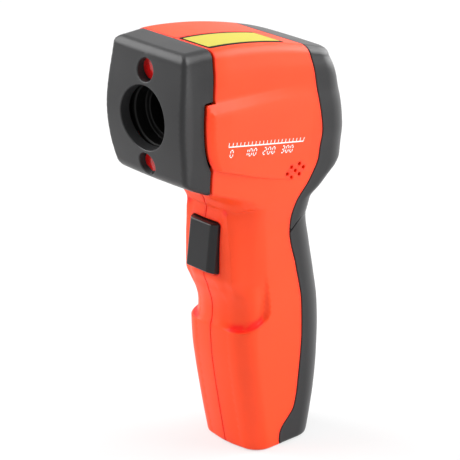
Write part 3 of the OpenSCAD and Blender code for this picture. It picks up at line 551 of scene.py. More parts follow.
def seam_to_back():
    """From the middle of the base round the toe of the door and up the spine to the middle of the top."""
    up = np.concatenate([steps(B_LOW, BASE_R, 0.4), steps(BASE_R, DOOR_TOP, 0.7)[1:],
                         steps(DOOR_TOP, B_FILLET)[1:], steps(B_FILLET, B_CAP, FILLET_PITCH)[1:]])
    spine = flat(-spine_x(up), up)
    base = flat(spine[0, 0], steps(B_LOW - cap_depth(spine[:1, 0], B_LOW)[0], B_LOW))
    top = flat(spine[-1, 0], steps(B_CAP, B_CAP + cap_depth(spine[-1:, 0], B_CAP)[0]))
    return np.concatenate([base[:-1], spine[:-1], top])


def seam_to_nose():
    """From the middle of the underside, round the chin, along the tab of the panel and over the top."""
    b = np.linspace(88, 103, 3000)
    cut = section(b)
    low, high = b[np.argmax(cut.xf > NOSE_SEAM_X)], b[np.argmax(cut.cf > NOSE_SEAM_X)]
    under_b = np.linspace(low, high, 14)
    left, right = front_middle(under_b), -section(under_b).cf
    for _ in range(50):
        mid = (left + right) / 2
        ahead = outline(mid, under_b)[1] > NOSE_SEAM_X
        left, right = np.where(ahead, mid, left), np.where(ahead, right, mid)
    under = flat((left + right) / 2, under_b)
    foot = PANEL_FRONT[0][0] - 0.6
    z = steps(PANEL_FRONT[0][0], PANEL_TOP - 0.7, 0.7)
    tab = side_place(curve(PANEL_FRONT, z), z)
    corner = side_place([NOSE_SEAM_X + 3.45, NOSE_SEAM_X + 2.9], [PANEL_TOP - 0.2, PANEL_TOP])
    back = side_place(steps(NOSE_SEAM_X + 2.2, NOSE_SEAM_X, 0.7), PANEL_TOP)
    rise = flat(-NOSE_SEAM_X, np.concatenate([steps(back[-1, 1], B_FILLET)[1:],
                                              steps(B_FILLET, B_CAP, FILLET_PITCH)[1:]]))
    side = flat(-NOSE_SEAM_X, steps(high, foot))
    top = flat(-NOSE_SEAM_X, steps(B_CAP, B_CAP + cap_depth([-NOSE_SEAM_X], B_CAP)[0]))
    return np.concatenate([under[:-1], side, tab, corner, back, rise[:-1], top])


def top_line(start, end):
    """The middle of the top, between two places round the body."""
    a = steps(start, end)
    return flat(a, B_CAP + cap_depth(a, B_CAP))


def base_line(start, end):
    """The middle of the base, between two places round the body."""
    a = steps(start, end)
    return flat(a, B_LOW - cap_depth(a, B_LOW))


def front_line(start, end):
    """The middle of the front, between two places up it."""
    b = steps(start, end)
    return flat(front_middle(b), b)


def rear_line(start, end):
    """The middle of the back, between two places up it."""
    b = steps(start, end)
    return flat(rear_middle(b), b)


def arc_port(z, radius):
    """Half of a round port on the middle of the nose face, from its top to its bottom."""
    turn = np.linspace(0, math.pi, max(20, int(radius * 6)))
    b = z + radius * np.cos(turn)
    return flat(front_middle(b) + radius * np.sin(turn), b)


def rounded(corners, radius, count=6):
    """Closed line through corners in turn, each rounded off."""
    line = []
    for i, p in enumerate(corners):
        p, q, r = (np.array(corners[k % len(corners)], float) for k in (i, i - 1, i + 1))
        u, v = (q - p) / np.linalg.norm(q - p), (r - p) / np.linalg.norm(r - p)
        for k in range(count + 1):
            s = math.radians(90 * k / count)
            line.append(p + radius * (1 - math.sin(s)) * u + radius * (1 - math.cos(s)) * v)
    return np.array(line)


def boxed(x, z, half_x, half_z, radius):
    """Rounded rectangle round (x, z), turning to the left."""
    return rounded([(x - half_x, z - half_z), (x + half_x, z - half_z), (x + half_x, z + half_z),
                    (x - half_x, z + half_z)], radius)


def closed(line):
    """The line, brought back to its start."""
    return np.concatenate([line, line[:1]])


def dense(line, pitch=1.0, least=1):
    """Adds points along the straight runs of a line."""
    return np.concatenate([np.linspace(p, q, max(least, int(np.hypot(*(q - p)) / pitch)), endpoint=False)
                           for p, q in zip(line[:-1], line[1:])] + [line[-1:]])


def round_hole(x, z, radius, count):
    """Round hole in the side, as (a, b)."""
    turn = np.linspace(0, 2 * math.pi, count, endpoint=False)
    return side_place(x - radius * np.cos(turn), z + radius * np.sin(turn))


BACK, NOSE = seam_to_back(), seam_to_nose()
AT_DOOR = int(np.argmin(np.abs(BACK[:, 1] - DOOR_TOP)))


def painted_grip_shade(a, b):
    """Painted shade: a deeper red where light is thrown back and forth between the walls of the grip, above
    the finger lip and in the corner at the top of the ridge.
    """
    s, x = np.abs(a - front_middle(b)), skin(a, b)[:, 0]
    above = b - curve(LIP_LINE, x)
    lip = smooth_step(above / 0.8) * (1 - smooth_step((above - LIP_ROUND) / 2.6)) * smooth_step((s - 5) / 4)
    lip *= smooth_step((x - curve(HOLLOW_END, b)) / 3)
    past = s - curve(RIDGE_LINE, b)
    corner = np.exp(-((past + 0.9) / 1.5) ** 2 - ((b - 86.8) / 1.4) ** 2)
    return PAINTED_SHADE_STRENGTH * np.maximum(lip, corner) * on_grip(x, b)


def panel_creases():
    """Lines of the skin where the bevels of the side panel bend."""
    lines = []
    x = steps(NOSE_SEAM_X + 3.4, -16)
    for drop in (0.0, STEP_WIDE, BEVEL_TOP):
        lines.append(side_place(x, panel_top(x) - drop))
    z = steps(PANEL_FRONT[0][0] + 0.5, PANEL_TOP - BEVEL_TOP)
    lines.append(side_place(curve(PANEL_FRONT, z) - BEVEL_FRONT, z))
    x = steps(NOSE_SEAM_X - 0.5, -17)
    for lift in (0.0, BEVEL_LOW / 2, BEVEL_LOW):
        lines.append(side_place(x, curve(PANEL_LOW, x) + lift))
    return lines


def grip_creases():
    """Lines of the skin along the ridge beside the trigger and the lip under the finger."""
    lines = []
    b = steps(FIELD_FOOT + 1, FIELD_TOP - 1.5)
    for past in (-0.2, 0.0, 0.2):
        lines.append(flat(front_middle(b) + curve(RIDGE_LINE, b) + past, b))
    for drop in (FIELD_STEP, 0.7, 0.0):
        b = FIELD_TOP - drop
        lines.append(flat(front_middle(b) + steps(0.6, 16, 0.7), b))
    a = steps(-16.5, 2.5, 0.7)
    for lift in (0.0, LIP_ROUND / 2, LIP_ROUND):
        lines.append(flat(a, curve(LIP_LINE, -a) + lift))
    return lines


def housing_patch(left):
    """One orange half shell."""
    half = TRIGGER_W / 2 + TRIGGER_GAP
    foot = TRIGGER_Z - TRIGGER_H / 2 - TRIGGER_GAP - RAKE
    head = TRIGGER_Z + TRIGGER_H / 2 + TRIGGER_GAP
    b = np.concatenate([steps(head, head - MOUTH_R, 0.4), steps(head - MOUTH_R, foot + MOUTH_R)[1:-1],
                        steps(foot + MOUTH_R, foot, 0.4)])
    past = np.maximum(np.maximum(b - head, foot - b) + MOUTH_R, 0)
    draw = half - MOUTH_R + np.sqrt(np.clip(MOUTH_R ** 2 - past ** 2, 0, None))
    mouth = flat(front_middle(b) + draw, b)
    lip_top = flat(front_middle(head) + steps(0, half - MOUTH_R, 0.6)[:-1], head)
    lip_foot = flat(front_middle(foot) + steps(half - MOUTH_R, 0, 0.6)[1:], foot)
    segments = [(base_line(front_middle(B_LOW), BACK[0, 0]), "parting"), (BACK, "seam"),
                (top_line(BACK[-1, 0], NOSE[-1, 0]), "parting"), (NOSE[::-1], "seam"),
                (front_line(NOSE[0, 1], head), "parting"),
                (np.concatenate([lip_top, mouth, lip_foot]), "window"),
                (front_line(foot, B_LOW), "parting")]
    if left:
        holes = [(round_hole(SOUNDER_AT[0] + dx, SOUNDER_AT[1] + dz, SOUNDER_R, 12), "hole")
                 for dx, dz in SOUNDER_HOLES]
    else:
        holes = [(round_hole(x, z, WELL_R, 36), "well") for x, z in SCREW_PLACES]
    # The orange halves carry the shade painted into the grip's creases
    patch = Patch(segments, holes, panel_creases() + grip_creases(), glow=painted_grip_shade)
    return patch if left else patch.mirror()


def nose_skin(a, b):
    """The skin of the dark cap, which draws in a little towards its seam."""
    points = skin(a, b)
    draw = 0.5 * (1 - smooth_step((points[:, 0] - NOSE_SEAM_X - 8) / 5))
    points[:, 1] -= draw * np.clip(points[:, 1] / 3, 0, 1)
    return points


def nose_patch():
    """The dark cap, with the sight aperture and the two laser ports."""
    line, z = [(NOSE, "seam"), (top_line(NOSE[-1, 0], front_middle(B_CAP)), "middle")], B_CAP
    for up, radius in ((LASER_OFFSET, LASER_R), (0, APERTURE_R), (-LASER_OFFSET, LASER_R)):
        line.append((front_line(z, AXIS_Z + up + radius), "middle"))
        line.append((arc_port(AXIS_Z + up, radius), "port"))
        z = AXIS_Z + up - radius
    line.append((front_line(z, NOSE[0, 1]), "middle"))
    return Patch(line, lay=nose_skin).whole()


def face_place(y, z):
    """(a, b) on the skin of a place on the display face, y across and z up the face."""
    goal = FACE_AT + np.asarray(z, float)[:, None] * FACE_UP
    y, height = np.asarray(y, float), goal[:, 2]
    b = b_at(unlean(height, goal[:, 0]))
    for _ in range(25):
        cut = section(b)
        flat_half = cut.w - cut.rr
        turn = np.arccos(np.clip((y - flat_half) / cut.rr, 0, 1))
        a = np.where(y < flat_half, rear_middle(b) - y, -cut.cr + cut.rr * turn)
        b = np.clip(b + 0.6 * (height - skin(a, b)[:, 2]), 85, B_FILLET)
    return np.stack([a, b], 1)


def door_head():
    """The head of the battery door, which climbs from the spine seam to the middle of the back."""
    start = BACK[AT_DOOR]
    a = steps(start[0], rear_middle(start[1] + DOOR_CLIMB), 0.7)
    share = smooth_step(0.5 + (a - start[0]) / 14) * 2 - 1
    return flat(a, start[1] + DOOR_CLIMB * share)


def cover_patch():
    """The dark cover at the back of the head, open behind the display and the keys."""
    bottom = door_head()
    split = bottom[-1, 1]
    corners = [(-1, FACE_LOW), (FACE_HALF, FACE_LOW), (FACE_HALF, FACE_HIGH), (-1, FACE_HIGH)]
    frame_line = rounded(corners, 2.0)
    frame_line = frame_line[frame_line[:, 0] > 0.5]
    frame_line = dense(np.concatenate([[[0, FACE_LOW]], frame_line, [[0, FACE_HIGH]]]), 0.8, 2)
    opening = face_place(frame_line[:, 0], frame_line[:, 1])
    return Patch([(bottom, "seam"), (rear_line(split, opening[0, 1]), "middle"), (opening, "window"),
                  (rear_line(opening[-1, 1], B_CAP), "middle"),
                  (top_line(rear_middle(B_CAP), BACK[-1, 0]), "middle"),
                  (BACK[AT_DOOR:][::-1], "seam")]).whole()


def on_face(lift):
    """Lays flat (u, v) places on the display face, this far proud of it."""
    def lay(u, v):
        u, v = np.asarray(u, float), np.asarray(v, float)
        return FACE_AT - lift * FACE_IN - u[:, None] * np.array([0.0, 1.0, 0.0]) + v[:, None] * FACE_UP
    return lay


def facia_patch():
    """The plate round the display window and the keys."""
    outer = boxed(0, (FACE_LOW + FACE_HIGH) / 2, FACE_HALF + 0.8, (FACE_HIGH - FACE_LOW) / 2 + 0.8, 3.6)
    holes = [(boxed(0, WINDOW_Z, WINDOW_HALF, WINDOW_TALL / 2, 1.2), "window")]
    for k in (-1, 0, 1):
        holes.append((boxed(k * KEY_PITCH, KEY_Z, *(half + KEY_GAP for half in KEY_HALF), 1.3), "hole"))
    return Patch([(closed(outer), "plate")], holes, pitch=0.9, lay=on_face(0.3))


def door_patch():
    """The battery door, down to the rounded toe round its pin."""
    top = door_head()[::-1]
    split = top[0, 1]
    return Patch([(base_line(BACK[0, 0], rear_middle(B_LOW)), "middle"), (rear_line(B_LOW, split), "middle"),
                  (top, "seam"), (BACK[:AT_DOOR + 1][::-1], "seam")]).whole()


# Materials
FLOAT, GEOMETRY, MATERIAL = "NodeSocketFloat", "NodeSocketGeometry", "NodeSocketMaterial"
GRAIN_DEEP = 0.00004
EDGE_SPREAD = 2.0


def new_tree(kind, name, inputs, outputs):
    """An empty node tree with named sockets, and its two end nodes."""
    tree = bpy.data.node_groups.new(name, kind)
    for way, rows in (("OUTPUT", outputs), ("INPUT", inputs)):
        for label, socket in rows:
            tree.interface.new_socket(label, in_out=way, socket_type=socket)
    return tree, tree.nodes.new("NodeGroupInput"), tree.nodes.new("NodeGroupOutput")


def new_node(tree, kind, values=None, **settings):
    """A node with these settings, and these values in its inputs."""
    node = tree.nodes.new(kind)
    for key, value in settings.items():
        setattr(node, key, value)
    for socket, value in (values or {}).items():
        node.inputs[socket].default_value = value
    return node


def wire(tree, *rows):
    """Links outputs to inputs, each row a node, its output, a node and its input."""
    for source, label, target, socket in rows:
        tree.links.new(source.outputs[label], target.inputs[socket])


def moulded_grain():
    """Fine spark-eroded grain of a moulding, and a broad unevenness of its colour."""
    tree, given, result = new_tree("ShaderNodeTree", "moulded_grain", [("Scale", FLOAT)],
                                   [("Height", FLOAT), ("Mottle", FLOAT)])
    coords = new_node(tree, "ShaderNodeTexCoord")
    fine = new_node(tree, "ShaderNodeTexNoise", {"Detail": 3})
    cells = new_node(tree, "ShaderNodeTexVoronoi")
    broad = new_node(tree, "ShaderNodeTexNoise", {"Scale": 90, "Detail": 4})
    add = new_node(tree, "ShaderNodeMath")
    for texture in (fine, cells, broad):
        wire(tree, (coords, "Object", texture, "Vector"))
    for texture in (fine, cells):
        wire(tree, (given, "Scale", texture, "Scale"))
    wire(tree, (fine, "Fac", add, 0), (cells, "Distance", add, 1), (add, "Value", result, "Height"),
         (broad, "Fac", result, "Mottle"))
    return tree


def edge_mask():
    """How near a place is to the edge of its moulding, together with the shade painted into the grip's
    creases, broken up by noise.
    """
    tree, given, result = new_tree("ShaderNodeTree", "edge_mask", [("Spread", FLOAT)], [("Mask", FLOAT)])
    near = new_node(tree, "ShaderNodeAttribute", attribute_name="edge")
    power = new_node(tree, "ShaderNodeMath", operation="POWER")
    coords = new_node(tree, "ShaderNodeTexCoord")
    noise = new_node(tree, "ShaderNodeTexNoise", {"Scale": 420, "Detail": 5})
    product = new_node(tree, "ShaderNodeMath", operation="MULTIPLY")
    wire(tree, (coords, "Object", noise, "Vector"), (near, "Fac", power, 0), (given, "Spread", power, 1),
         (power, "Value", product, 0), (noise, "Fac", product, 1), (product, "Value", result, "Mask"))
    return tree


GRAIN, EDGE = moulded_grain(), edge_mask()


def finish(name, colour, rough, metal=0.0, grain=3200.0, bump=0.25, vary=0.08, edge=None, coat=0.0,
           shift=0.06, gloss=0.5):
    """A material with fine grain, uneven colour and gloss, and, if given, another colour along its edges and
    where the edge value carries painted shade.
    """
    material = bpy.data.materials.new(name)
    material.use_nodes = True
    tree = material.node_tree
    shader = tree.nodes["Principled BSDF"]
    for socket, value in (("Metallic", metal), ("Coat Weight", coat), ("Specular IOR Level", gloss)):
        shader.inputs[socket].default_value = value
    texture = new_node(tree, "ShaderNodeGroup", {"Scale": grain}, node_tree=GRAIN)
    deep, pale = ((*[min(1, c * (1 + share)) for c in colour], 1) for share in (-vary, vary))
    paint = new_node(tree, "ShaderNodeMix", {"A": deep, "B": pale}, data_type="RGBA")
    wire(tree, (texture, "Mottle", paint, "Factor"))
    if edge:
        mask = new_node(tree, "ShaderNodeGroup", {"Spread": EDGE_SPREAD}, node_tree=EDGE)
        mix = new_node(tree, "ShaderNodeMix", {"B": (*edge, 1)}, data_type="RGBA")
        wire(tree, (mask, "Mask", mix, "Factor"), (paint, "Result", mix, "A"))
        paint = mix
    sheen = new_node(tree, "ShaderNodeMapRange", {"To Min": rough - shift, "To Max": rough + shift})
    relief = new_node(tree, "ShaderNodeBump", {"Strength": bump, "Distance": GRAIN_DEEP})
    wire(tree, (paint, "Result", shader, "Base Color"), (texture, "Mottle", sheen, "Value"),
         (sheen, "Result", shader, "Roughness"), (texture, "Height", relief, "Height"),
         (relief, "Normal", shader, "Normal"))
    return material


# The orange's edge colour is a deeper red along its edges, and the same red paints the shade in the grip's
# creases
orange = finish("orange_plastic", (0.92, 0.06, 0.007), 0.44, edge=(0.9, 0.01, 0.002), gloss=0.3)
charcoal = finish("charcoal_plastic", (0.021, 0.021, 0.022), 0.36, edge=(0.031, 0.031, 0.032), gloss=0.3)
black_plastic = finish("black_plastic", (0.011, 0.011, 0.012), 0.34, bump=0.15, gloss=0.3)
yellow_foil = finish("yellow_foil", (0.52, 0.46, 0.08), 0.5, grain=900, bump=0.06, vary=0.04, gloss=0.05)
black_ink = finish("black_ink", (0.01, 0.01, 0.01), 0.6, grain=6000, bump=0.1, gloss=0.05)
matt_black = finish("matt_black", (0.004, 0.004, 0.004), 0.45, bump=0.15, gloss=0.15)
white_ink = finish("white_ink", (0.86, 0.84, 0.82), 0.5, grain=6000, bump=0.12, vary=0.03)
SLOTS = {
    "orange_shell": orange, "dark_shell": charcoal, "black_part": black_plastic,
    "steel": finish("plain_steel", (0.58, 0.58, 0.6), 0.3, metal=1.0, grain=1500, bump=0.1),
    "brass": finish("turned_brass", (0.72, 0.48, 0.17), 0.3, metal=1.0, grain=1800, bump=0.1),
    "board": finish("solder_mask", (0.012, 0.11, 0.035), 0.35, grain=1100, bump=0.2, vary=0.2, coat=0.3),
    "red_window": finish("red_filter", (0.5, 0.003, 0.003), 0.15, grain=700, bump=0.02, vary=0.05, coat=0.15,
                         shift=0.03),
    "display": finish("display_grey", (0.3, 0.34, 0.27), 0.2, grain=2500, bump=0.04, vary=0.04),
    "white_frame": finish("white_moulding", (0.78, 0.78, 0.76), 0.4, grain=2200),
    "lens": finish("dark_lens", (0.06, 0.065, 0.075), 0.08, metal=0.6, grain=800, bump=0.02, shift=0.03),
    "battery_case": finish("battery_can", (0.03, 0.035, 0.045), 0.32, metal=0.7, grain=1200, bump=0.1),
    "lead": finish("wire_insulation", (0.5, 0.015, 0.01), 0.5, grain=2600)}


def clear_window():
    """Clear moulded pane: mostly see-through, with faint smears in its gloss."""
    material = finish("clear_pane", (0.9, 0.93, 0.93), 0.08, grain=600, bump=0.02, vary=0.02, shift=0.04)
    shader = material.node_tree.nodes["Principled BSDF"]
    shader.inputs["Transmission Weight"].default_value = 1.0
    shader.inputs["IOR"].default_value = 1.2
    return material


SLOTS["clear_window"] = clear_window()
for row in frame["record"]["subparts"]:
    for slot in frame["nodes"][row["node"]].material_slots:
        slot.material = SLOTS[row["material_slot"]]


def placed(piece, body, slot, *nodes):
    """Lets a finished piece ride on its body and stand for its CAD nodes."""
    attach(piece, body)
    if nodes:
        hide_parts(*nodes)
    return piece


def finished(obj):
    """Turns an object's modifiers into plain mesh."""
    mesh = bpy.data.meshes.new_from_object(obj.evaluated_get(bpy.context.evaluated_depsgraph_get()))
    obj.modifiers.clear()
    obj.data = mesh
    return obj


# Mouldings of the body
for side in ("left", "right"):
    shell = housing_patch(side == "left").add_inside(side + "_housing").build(side + "_shell", orange)
    placed(shell, "instrument", "orange_shell", side + "_housing")
for patch, name, body, *nodes in (
        (nose_patch(), "nose_cap", "instrument", "nose_bezel"),
        (cover_patch(), "display_cover", "instrument", "rear_cover"),
        (facia_patch(), "display_facia", "instrument"),
        (door_patch().add_inside("battery_door"), "grip_door", "battery_door", "battery_door")):
    placed(patch.build(name, charcoal), body, "dark_shell", *nodes)


# Trigger and sight tube
def trigger_cap():
    """The trigger: a wedge with bevelled sides on a flange."""
    low, high, half = TRIGGER_Z - TRIGGER_H / 2, TRIGGER_Z + TRIGGER_H / 2, TRIGGER_W / 2
    bevel, flange_deep = 1.6, 1.8
    box = [np.array(c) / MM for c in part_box("trigger")]
    back, skin_x, foot, top = box[0][0], TRIGGER_FOOT_X - 3.6, TRIGGER_FOOT_X, TRIGGER_TOP_X
    points = [(back, -half, low - RAKE), (skin_x, -half, low - RAKE)]
    points += [(x, y, low - RAKE * (foot - x) / (foot - skin_x)) for x, y in (
        (foot - bevel, -half), (foot, bevel - half), (foot, half - bevel), (foot - bevel, half))]
    points += [(skin_x, half, low - RAKE), (back, half, low - RAKE)]
    points += [(x, y, high) for x, y in ((back, -half), (top - bevel, -half), (top, bevel - half),
                                         (top, half - bevel), (top - bevel, half), (back, half))]
    faces = [(0, 7, 6, 1), (1, 6, 5, 4, 3, 2), (8, 9, 10, 11, 12, 13), (0, 1, 2, 9, 8), (2, 3, 10, 9),
             (3, 4, 11, 10), (4, 5, 12, 11), (5, 6, 7, 13, 12), (7, 0, 8, 13)]
    flange = len(points)
    for x in (back, back + flange_deep):
        points += [(x, box[i][1], box[j][2]) for i, j in ((0, 0), (1, 0), (1, 1), (0, 1))]
    faces += [tuple(flange + i for i in f) for f in ((0, 3, 2, 1), (4, 5, 6, 7), (0, 1, 5, 4), (1, 2, 6, 5),
                                                     (2, 3, 7, 6), (3, 0, 4, 7))]
    cap = new_object("trigger_cap", points, faces, black_plastic)
    edges = cap.modifiers.new("rounded_edges", "BEVEL")
    edges.width, edges.segments, edges.limit_method, edges.harden_normals = 0.55 * MM, 4, "ANGLE", True
    return finished(cap)


placed(trigger_cap(), "trigger", "black_part", "trigger")


def turned(name, profile, material, height, segments=96):
    """A piece turned about a line along X at this height, from (x, radius) pairs."""
    angles = np.linspace(0, 2 * math.pi, segments, endpoint=False)
    points, faces, normals = [], [], []
    for x, r in profile:
        points += [(x, r * math.cos(t), height + r * math.sin(t)) for t in angles]
    count = len(profile)
    for i in range(count):
        j = (i + 1) % count
        dx, dr = profile[j][0] - profile[i][0], profile[j][1] - profile[i][1]
        length = math.hypot(dx, dr)
        for k in range(segments):
            m = (k + 1) % segments
            faces.append((i * segments + k, i * segments + m, j * segments + m, j * segments + k))
            normals.append([(-dr / length, dx / length * math.cos(t), dx / length * math.sin(t))
                            for t in (angles[k], angles[m], angles[m], angles[k])])
    return new_object(name, points, faces, material, normals)


def sight_tube():
    """The stepped tube, with a small chamfer at its mouth and on the first two steps of its bore."""
    tail, mouth = (corner[0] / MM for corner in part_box("optic_tube"))
    chamfer, flange_r, body_r, rear_r, rear_bore = 0.3, 11.3, 9.3, 8.3, 4.8
    profile = [(mouth, flange_r), (mouth, 10.1), (mouth - 0.4, 9.7)]
    for depth, outer, inner in ((4.5, 9.7, 8.2), (9.5, 7.9, 6.4)):
        end = mouth - depth
        profile += [(end + chamfer, outer), (end, outer - chamfer)]
        profile += [(end, inner), (end - chamfer, inner - chamfer)]
    profile += [(mouth - 21, 5.8), (mouth - 21, rear_bore), (tail, rear_bore), (tail, rear_r),
                (mouth - 14, rear_r), (mouth - 14, body_r), (mouth - 7, body_r), (mouth - 7, flange_r)]
    return turned("sight_tube", profile, matt_black, AXIS_Z)


placed(sight_tube(), "instrument", "black_part", "optic_tube")


# Keys, their marks, and the display
def domed(lift, y, z):
    """Lays flat places on the shallow dome of the key at (y, z)."""
    bare = on_face(lift)

    def lay(u, v):
        u, v = np.asarray(u, float), np.asarray(v, float)
        away = ((u - y) / KEY_HALF[0]) ** 2 + ((v - z) / KEY_HALF[1]) ** 2
        return bare(u, v) - (KEY_DOME * np.clip(1 - away / 2, 0, 1))[:, None] * FACE_IN
    return lay


for name, place, turn in (("up_key", 1, 90), ("mode_key", 0, None), ("down_key", -1, -90)):
    middle = (place * KEY_PITCH, KEY_Z)
    rim = closed(boxed(*middle, *KEY_HALF, 1.1))
    cap = Patch([(rim, "cap")], pitch=0.5, lay=domed(KEY_LIFT, *middle))
    placed(cap.build(name + "_cap", black_plastic), name, "black_part", name)
    if turn is None:
        angles, size = np.radians(np.arange(0, 360, 20)), 0.85
    else:
        angles, size = np.radians(turn + np.array([0, 120, 240])), 1.15
    mark = closed(size * np.stack([np.cos(angles), np.sin(angles)], 1) + np.array(middle))
    mark = Patch([(mark, "middle")], pitch=0.5, lay=domed(KEY_LIFT + 0.03, *middle))
    placed(mark.build(name + "_mark", white_ink), name, "white_frame")

SEGMENTS = {"a": ((0, 2), (1, 2)), "b": ((1, 2), (1, 1)), "c": ((1, 1), (1, 0)), "d": ((0, 0), (1, 0)),
            "e": ((0, 1), (0, 0)), "f": ((0, 2), (0, 1)), "g": ((0, 1), (1, 1))}
BAR_CUTS = 4
NUMERALS = {"0": "abcdef", "1": "bc", "2": "abged", "3": "abgcd", "5": "afgcd"}


def numeral(sign, at, size, stroke):
    """Bars of one seven-bar numeral, as four corners each."""
    bars = []
    for key in NUMERALS[sign]:
        p, q = (np.array(at) + np.array(e) * size for e in SEGMENTS[key])
        along = (q - p) / np.linalg.norm(q - p)
        across = np.array([-along[1], along[0]]) * stroke / 2
        p, q = p + along * stroke * 0.6, q - along * stroke * 0.6
        bars.append([p - across, q - across, q + across, p + across])
    return bars


def printed(name, bars, lay, material):
    """Flat quadrilaterals, split along their length and laid on a surface."""
    points, faces = [], []
    for p, q, r, t in bars:
        for k in range(BAR_CUTS):
            f, g = k / BAR_CUTS, (k + 1) / BAR_CUTS
            faces.append(tuple(range(len(points), len(points) + 4)))
            points += [p + (q - p) * f, p + (q - p) * g, t + (r - t) * g, t + (r - t) * f]
    flat_points = np.array(points)
    laid = lay(flat_points[:, 0], flat_points[:, 1])
    normals = surface_normals(lay, flat_points[:, 0], flat_points[:, 1])
    return new_object(name, [tuple(v) for v in laid], faces, material,
                      [[tuple(normals[i]) for i in f] for f in faces])


glass = frame["nodes"]["display_glass"].data.vertices
glass_depth = min((np.array(v.co) / MM - FACE_AT) @ FACE_IN for v in glass)
digits = []
for k, sign in enumerate("235"):
    digits += numeral(sign, (-7.2 + 4.6 * k, WINDOW_Z - 2.4), 2.9, 0.6)
placed(printed("display_digits", digits, on_face(0.03 - glass_depth), black_ink), "instrument", "display")


# Foil plate on the top, and the print on the side
def raised(lift):
    """The skin, this far proud of the body."""
    def lay(a, b):
        return skin(a, b) + lift * surface_normals(skin, a, b)
    return lay


def top_place(line):
    """(a, b) of places on the top, from their X and Y."""
    edge, bare = skin(-line[:, 0], np.full(len(line), B_CAP))[:, 1], cap_depth(-line[:, 0], B_CAP)
    return np.stack([-line[:, 0], B_CAP + bare * (1 - line[:, 1] / edge)], 1)


# Front, back, inner and outer edge of the plate
PLATE = (23.2, -8.0, 0.6, 15.4)
for name, margin, lift, material in (("plate_edge", 0.0, 0.08, black_ink),
                                     ("plate_face", 0.7, 0.14, yellow_foil)):
    front, back = PLATE[0] - margin, PLATE[1] + margin
    inner, outer = PLATE[2] + 2 * margin, PLATE[3] - 2 * margin
    corners = rounded([(front, outer), (back, outer), (back, inner), (front, inner)], 0.8 - margin / 2)
    line = top_place(dense(closed(corners)))
    placed(Patch([(line, "foil")], lay=raised(lift)).build(name, material), "instrument", "white_frame")


def side_print(lift):
    """Lays (u, v) places along the sloping print line of the left panel."""
    start, along, up = np.array([19.3, 113.6]), np.array([-0.982, -0.188]), np.array([-0.188, 0.982])

    def lay(u, v):
        at = start + np.asarray(u, float)[:, None] * along + np.asarray(v, float)[:, None] * up
        place = side_place(at[:, 0], at[:, 1])
        return raised(lift)(place[:, 0], place[:, 1])
    return lay


RULE, TICK_PITCH, PRINT_LIFT = 34.0, 1.7, 0.04
bars = [[np.array(c, float) for c in ((0, -0.2), (RULE, -0.2), (RULE, 0.2), (0, 0.2))]]
for k, sign in enumerate(("0", "100", "200", "300")):
    for i, digit in enumerate(sign):
        bars += numeral(digit, (2.2 + 8.5 * k + 2.0 * i - len(sign), -3.4), 1.15, 0.36)
placed(printed("side_scale", bars, side_print(PRINT_LIFT), white_ink), "instrument", "white_frame")


def grown_mesh(name, tree, values, points=()):
    """The finished mesh of a geometry tree, from its named inputs."""
    mesh = bpy.data.meshes.new(name)
    mesh.from_pydata([tuple(q) for q in points], [], [])
    obj = in_scene(name, mesh)
    modifier = obj.modifiers.new(name, "NODES")
    modifier.node_group = tree
    for item in tree.interface.items_tree:
        if item.in_out == "INPUT" and item.name in values:
            modifier[item.identifier] = values[item.name]
    obj.update_tag()
    bpy.context.view_layer.update()
    return finished(obj)


def put_on_points(tree, points, shape, material, result):
    """Ends a geometry tree: the shape at every point, made real and given its material."""
    instances = new_node(tree, "GeometryNodeInstanceOnPoints")
    solid = new_node(tree, "GeometryNodeRealizeInstances")
    paint = new_node(tree, "GeometryNodeSetMaterial")
    wire(tree, (*points, instances, "Points"), (shape, "Geometry", instances, "Instance"),
         (instances, "Instances", solid, "Geometry"), (solid, "Geometry", paint, "Geometry"),
         (*material, paint, "Material"), (paint, "Geometry", result, "Geometry"))
    return instances


def tick_row():
    """A row of short upright marks."""
    inputs = [("Count", "NodeSocketInt"), ("Pitch", FLOAT), ("Width", FLOAT), ("Height", FLOAT),
              ("Ink", MATERIAL)]
    tree, given, result = new_tree("GeometryNodeTree", "tick_row", inputs, [("Geometry", GEOMETRY)])
    step, lift = (new_node(tree, "ShaderNodeCombineXYZ") for _ in range(2))
    line = new_node(tree, "GeometryNodeMeshLine")
    mark = new_node(tree, "GeometryNodeMeshGrid", {"Vertices X": 2, "Vertices Y": 3})
    half = new_node(tree, "ShaderNodeMath", {1: 0.5}, operation="MULTIPLY")
    shift = new_node(tree, "GeometryNodeTransform")
    wire(tree, (given, "Pitch", step, "X"), (step, "Vector", line, "Offset"), (given, "Count", line, "Count"),
         (given, "Width", mark, "Size X"), (given, "Height", mark, "Size Y"), (given, "Height", half, 0),
         (half, "Value", lift, "Y"), (mark, "Mesh", shift, "Geometry"),
         (lift, "Vector", shift, "Translation"))
    put_on_points(tree, (line, "Mesh"), shift, (given, "Ink"), result)
    return tree


ticks = grown_mesh("side_ticks", tick_row(), {"Count": int(RULE / TICK_PITCH) + 1, "Pitch": TICK_PITCH * MM,
                                              "Width": 0.28 * MM, "Height": 1.3 * MM, "Ink": white_ink})
flat_ticks = np.array([v.co for v in ticks.data.vertices]) / MM
laid = side_print(PRINT_LIFT)(flat_ticks[:, 0], flat_ticks[:, 1])
ticks.data.vertices.foreach_set("co", (laid * MM).ravel())
ticks.data.update()
placed(ticks, "instrument", "white_frame")


